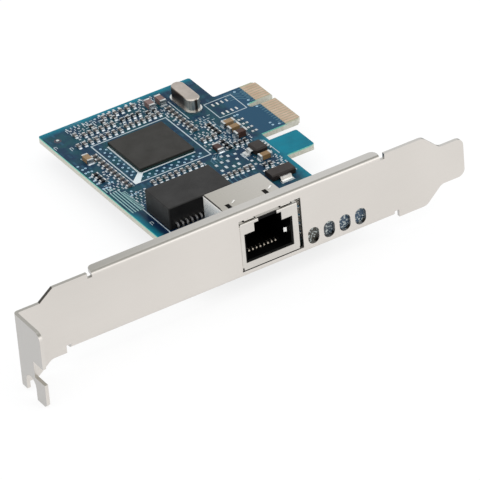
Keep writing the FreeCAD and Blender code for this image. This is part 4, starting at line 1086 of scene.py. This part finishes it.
@dataclass
class SpareFootprints:
    """Unfitted footprints, plated holes and printed strokes in the gaps between the parts."""

    solder: ChipSolder
    pitch: float = 1.12
    wander: float = 0.12
    seed: int = 23
    tall_room: float = 0.5
    chip_room: Point = (0.62, 0.4)
    # Shares of the places, added up: two pads, a hole, a stroke along Y, a stroke along X.
    shares: Quad = (0.42, 0.62, 0.78, 0.92)
    pad_half: Point = (0.2, 0.17)
    pad_shift: float = 0.3
    hole_radii: Point = (0.3, 0.1)
    # Strokes along Y and along X: low X, low Y, high X and high Y from their place.
    strokes: tuple[Quad, Quad] = ((-0.09, -0.4, 0.09, 0.35), (-0.4, -0.09, 0.4, 0.09))
    # Low X, low Y, high X and high Y of the busy parts of the board.
    regions: tuple[Quad, ...] = (
        (79.6, 45.6, 91.4, 58.0), (85.8, 33.0, 91.4, 45.0), (57.2, 68.0, 83.0, 78.2),
        (51.4, 46.6, 57.2, 57.0), (80.0, 58.0, 88.6, 63.2), (79.6, 62.4, 83.2, 68.0),
        (54.6, 37.6, 76.0, 45.2), (90.6, 27.0, 92.0, 36.0),
    )

    def taken(self) -> list[Quad]:
        """Plan rectangles of what stands on the board, with the room that each needs.

        Returns:
            Low X, low Y, high X and high Y of each.
        """
        found = []
        end_room, side_room = self.chip_room
        for chip in (chip for node in CHIP_NODES for chip in self.solder.chips(node)):
            across = Vector((chip.along.y, chip.along.x))
            room = chip.along * (chip.reach + end_room) + across * (chip.width / 2 + side_room)
            found.append((*(chip.centre - room), *(chip.centre + room)))
        for node in TALL_NODES:
            near, far = ((corner - SITE.origin).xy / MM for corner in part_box(node))
            room = Vector((self.tall_room, self.tall_room))
            found.append((*(near - room), *(far + room)))
        return found

    def places(self) -> Iterator[Triple]:
        """Go over the places of all the regions.

        Returns:
            X and Y of each, and a random number from zero to one that chooses what it gets.
        """
        rng = random.Random(self.seed)
        wander = self.wander
        for left, front, right, rear in self.regions:
            for row in range(int((rear - front) / self.pitch)):
                for number in range(int((right - left) / self.pitch)):
                    x = left + self.pitch * (number + 0.5 * (row % 2)) + rng.uniform(-wander, wander)
                    y = front + self.pitch * row + rng.uniform(-wander, wander)
                    yield x, y, rng.random()

    def fill(self, x: float, y: float, choice: float, pads: Piece, ink: Piece) -> None:
        """Give a place two pads, a hole, a printed stroke or nothing.

        Args:
            x: Its place along the bracket.
            y: Its place behind the bracket.
            choice: Random number from zero to one.
            pads: Piece that gets pads and holes.
            ink: Piece that gets strokes.
        """
        two_pads, hole, lengthways, crossways = self.shares
        half_x, half_y = self.pad_half
        if choice < two_pads:
            for middle in (y - self.pad_shift, y + self.pad_shift):
                pads.plate(x - half_x, middle - half_y, x + half_x, middle + half_y, PAD_TOP)
        elif choice < hole:
            pads.ring(x, y, *self.hole_radii, PAD_TOP)
        elif choice < crossways:
            left, front, right, rear = self.strokes[choice >= lengthways]
            ink.plate(x + left, y + front, x + right, y + rear, INK_TOP)

    def build(self) -> None:
        """Fill the places that no part has taken."""
        taken = self.taken()
        pads, ink = Piece(), Piece()
        for x, y, choice in self.places():
            if not any(low_x < x < high_x and low_y < y < high_y for low_x, low_y, high_x, high_y in taken):
                self.fill(x, y, choice, pads, ink)
        pads.finish("spare_footprints", Look.SOLDER, "solder")
        ink.finish("printed_strokes", Look.INK, "legend_ink")


@dataclass
class Lamps:
    """Clear lenses that carry each chip lamp's light forward to its slot in the bracket."""

    first: float = 78.3
    pitch: float = 4.27
    reach: float = 1.6
    # Section across the row, as Y and Z: a foot on the lamp's base and a throat that dips to the slot.
    side: tuple[Point, ...] = (
        (0.95, 2.2), (1.8, 2.2), (1.8, 3.62), (3.6, 3.62), (3.6, 4.7), (2.5, 5.9), (0.95, 5.9),
    )

    def build(self) -> None:
        """Make the four lenses as one piece that stands for the solid ones."""
        piece = Piece()
        for number in range(4):
            centre = self.first + self.pitch * number
            piece.solid(*(piece.corners((x, *point) for point in self.side)
                          for x in (centre + self.reach, centre - self.reach)))
        lenses = piece.finish("lamp_lenses", Look.DOME, "clear_resin", 0.12)
        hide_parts("indicator_lenses")


@dataclass
class CardEdge:
    """Leads-in of the gilt contacts: eleven in front of the key and seven behind it."""

    rows: tuple[tuple[float, int, int], ...] = ((57.45, -1, 11), (60.65, 1, 7))
    pitch: float = 1.0
    run: Span = (100.06, 98.9)
    width: float = 0.3

    def build(self) -> None:
        """Make a short conductor from each contact into the board."""
        piece = Piece()
        for first, way, count in self.rows:
            for number in range(count):
                y = first + way * self.pitch * number
                piece.strip([(x, y) for x in self.run], self.width, TRACE_TOP)
        piece.finish("contact_leads_in", Look.TRACE, "board_mask")


@dataclass
class Socket:
    """Folds and small features of the network socket's shield, and the comb that parts its wires."""

    top: float = 14.95
    left: float = 59.0
    right: float = 74.6
    tongues: Point = (62.3, 72.15)
    # In plan: a tongue from its place along X, a side spring's path from the shield's right side, and
    # the contact inside the mouth.
    tongue: tuple[Point, ...] = ((0.0, 8.9), (0.4, 8.8), (1.5, 9.5), (1.2, 9.9))
    spring: tuple[Point, ...] = ((0.0, 5.2), (1.5, 1.6), (1.3, 1.05))
    side_contact: tuple[Point, ...] = ((71.5, 2.05), (72.25, 1.75), (72.25, 1.95), (71.5, 2.25))
    contact_levels: Span = (8.2, 7.0)
    spring_low: float = 3.4
    spring_pitch: float = 2.3
    spring_width: float = 1.6
    spring_sheet: float = 0.16
    comb_middle: float = 66.45
    comb_pitch: float = 1.02
    rib_half: float = 0.2
    rib_run: Span = (3.2, 12.2)
    rib_levels: Span = (5.35, 4.6)

    def lid(self) -> None:
        """Two lifted tongues on top."""
        piece = Piece()
        for place in self.tongues:
            piece.prism([(place + x, y) for x, y in self.tongue], self.top + 0.13, self.top - 0.01)
        piece.finish("shield_tongues", Look.POLISHED, "shield_tin", 0.05)

    def gap_shades(self) -> None:
        """Black strips of painted shade: in the open seam on top, and in the gap under the front lip."""
        piece = Piece()
        # Painted shade: black plates stand in for the shade inside the seam and the gap.
        piece.plate(self.left + 0.16, 8.6, self.left + 0.3, 16.0, self.top + 0.015, self.top - 0.1)
        piece.plate(self.left + 0.4, 0.02, self.right - 0.35, 0.28, 2.5, 2.21)
        piece.finish("shield_gap_shades", Look.NYLON, "black_nylon")

    def springs(self) -> None:
        """Five springs at the right side, and the flange at the left."""
        piece = Piece()
        points = [(self.right + x, y) for x, y in self.spring]
        for number in range(5):
            low = self.spring_low + self.spring_pitch * number
            piece.strip(points, self.spring_sheet, low + self.spring_width, low)
        piece.plate(self.left - 0.17, 0.12, self.left + 0.02, 0.8, 14.3, 2.4)
        piece.finish("shield_side_springs", Look.SHIELD, "shield_tin", 0.04)

    def contact(self) -> None:
        """The grounding contact inside the mouth."""
        piece = Piece()
        piece.prism(self.side_contact, *self.contact_levels)
        piece.finish("plug_side_contact", Look.POLISHED, "shield_tin", 0.05)

    def comb(self) -> None:
        """Nine ribs with the eight wires between them."""
        piece = Piece()
        near, far = self.rib_run
        for number in range(-4, 5):
            x = self.comb_middle + number * self.comb_pitch
            piece.plate(x - self.rib_half, near, x + self.rib_half, far, *self.rib_levels)
        piece.finish("wire_comb", Look.NYLON, "black_nylon", 0.05)

    def build(self) -> None:
        """Make all the trim of the socket."""
        for step in (self.lid, self.gap_shades, self.springs, self.contact, self.comb):
            step()


@dataclass
class Studio:
    """Floor, lights, white surround and the camera at the photograph's viewpoint."""

    floor_reach: float = 6.0
    floor_level: float = -0.00002
    sky: Quad = (0.98, 0.99, 1.0, 1.0)
    sky_strength: float = 0.9
    focal_px: float = 5223.6
    frame_px: float = 480.0
    sensor_mm: float = 36.0
    shift: Point = (0.0051, 0.0013)
    far_clip: float = 20.0
    viewpoint: Triple = (-0.484057, -0.900408, 0.665350)
    turns: Triple = (56.642, 4.2987, -31.923)
    # Name, place, side in metres and power in watts of each light.
    lights: tuple[tuple[str, Triple, float, float], ...] = (
        ("overhead", (-0.15, -0.1, 1.1), 1.3, 4.4), ("fill", (0.75, -0.8, 0.55), 0.9, 2.0),
    )

    def floor(self) -> None:
        """Lay the pale floor just under the card's lowest point."""
        data = bpy.data.meshes.new("studio_floor")
        reach = self.floor_reach
        corners = [(-reach, -reach), (reach, -reach), (reach, reach), (-reach, reach)]
        data.from_pydata([(x, y, self.floor_level) for x, y in corners], [], [(0, 1, 2, 3)])
        data.materials.append(Look.FLOOR.material())
        floor = bpy.data.objects.new("studio_floor", data)
        bpy.context.scene.collection.objects.link(floor)

    def light(self, name: str, place: Triple, size: float, power: float) -> None:
        """Hang a soft square light that looks at the card.

        Args:
            name: Name of the light.
            place: Where it hangs, in metres.
            size: Length of its side, in metres.
            power: Its power in watts.
        """
        data = bpy.data.lights.new(name, "AREA")
        data.shape = "SQUARE"
        data.size = size
        data.energy = power
        lamp = bpy.data.objects.new(name, data)
        lamp.location = place
        lamp.rotation_euler = (-Vector(place)).to_track_quat("-Z", "Y").to_euler()
        bpy.context.scene.collection.objects.link(lamp)

    def surround(self) -> None:
        """White all round for the camera, softer for everything that it lights."""
        world = bpy.data.worlds.new("studio")
        bpy.context.scene.world = world
        world.use_nodes = True
        tree = world.node_tree
        tree.nodes.clear()
        lit = add_node(tree, Kind.SKY, self.sky, self.sky_strength)
        seen = add_node(tree, Kind.SKY, "ffffff", 1.0)
        add_node(tree, Kind.WORLD_END, add_node(tree, Kind.MIX_SHADER, seen_directly(tree), lit, seen))

    def camera(self) -> None:
        """Place the long lens that the photograph was taken with."""
        data = bpy.data.cameras.new("photo_camera")
        data.sensor_width = self.sensor_mm
        data.lens = self.sensor_mm * self.focal_px / self.frame_px
        data.shift_x, data.shift_y = self.shift
        data.clip_end = self.far_clip
        camera = bpy.data.objects.new("photo_camera", data)
        camera.location = self.viewpoint
        camera.rotation_euler = [math.radians(turn) for turn in self.turns]
        bpy.context.scene.collection.objects.link(camera)
        bpy.context.scene.camera = camera

    def build(self) -> None:
        """Set up the whole studio."""
        self.floor()
        for light in self.lights:
            self.light(*light)
        self.surround()
        self.camera()
        bpy.context.scene.view_settings.view_transform = "Standard"


def main() -> None:
    """Build every sub-assembly in order and report each one."""
    logging.basicConfig(level=logging.INFO, format="%(message)s")
    nodes = frame["nodes"]
    solder = ChipSolder(nodes)
    builders = (Dressing(nodes), solder, BoardCopper(), SpareFootprints(solder), Lamps(), CardEdge(),
                Socket(), Studio())
    for builder in builders:
        builder.build()
        LOG.info("built %s", type(builder).__name__)


if __name__ == "__main__":
    main()
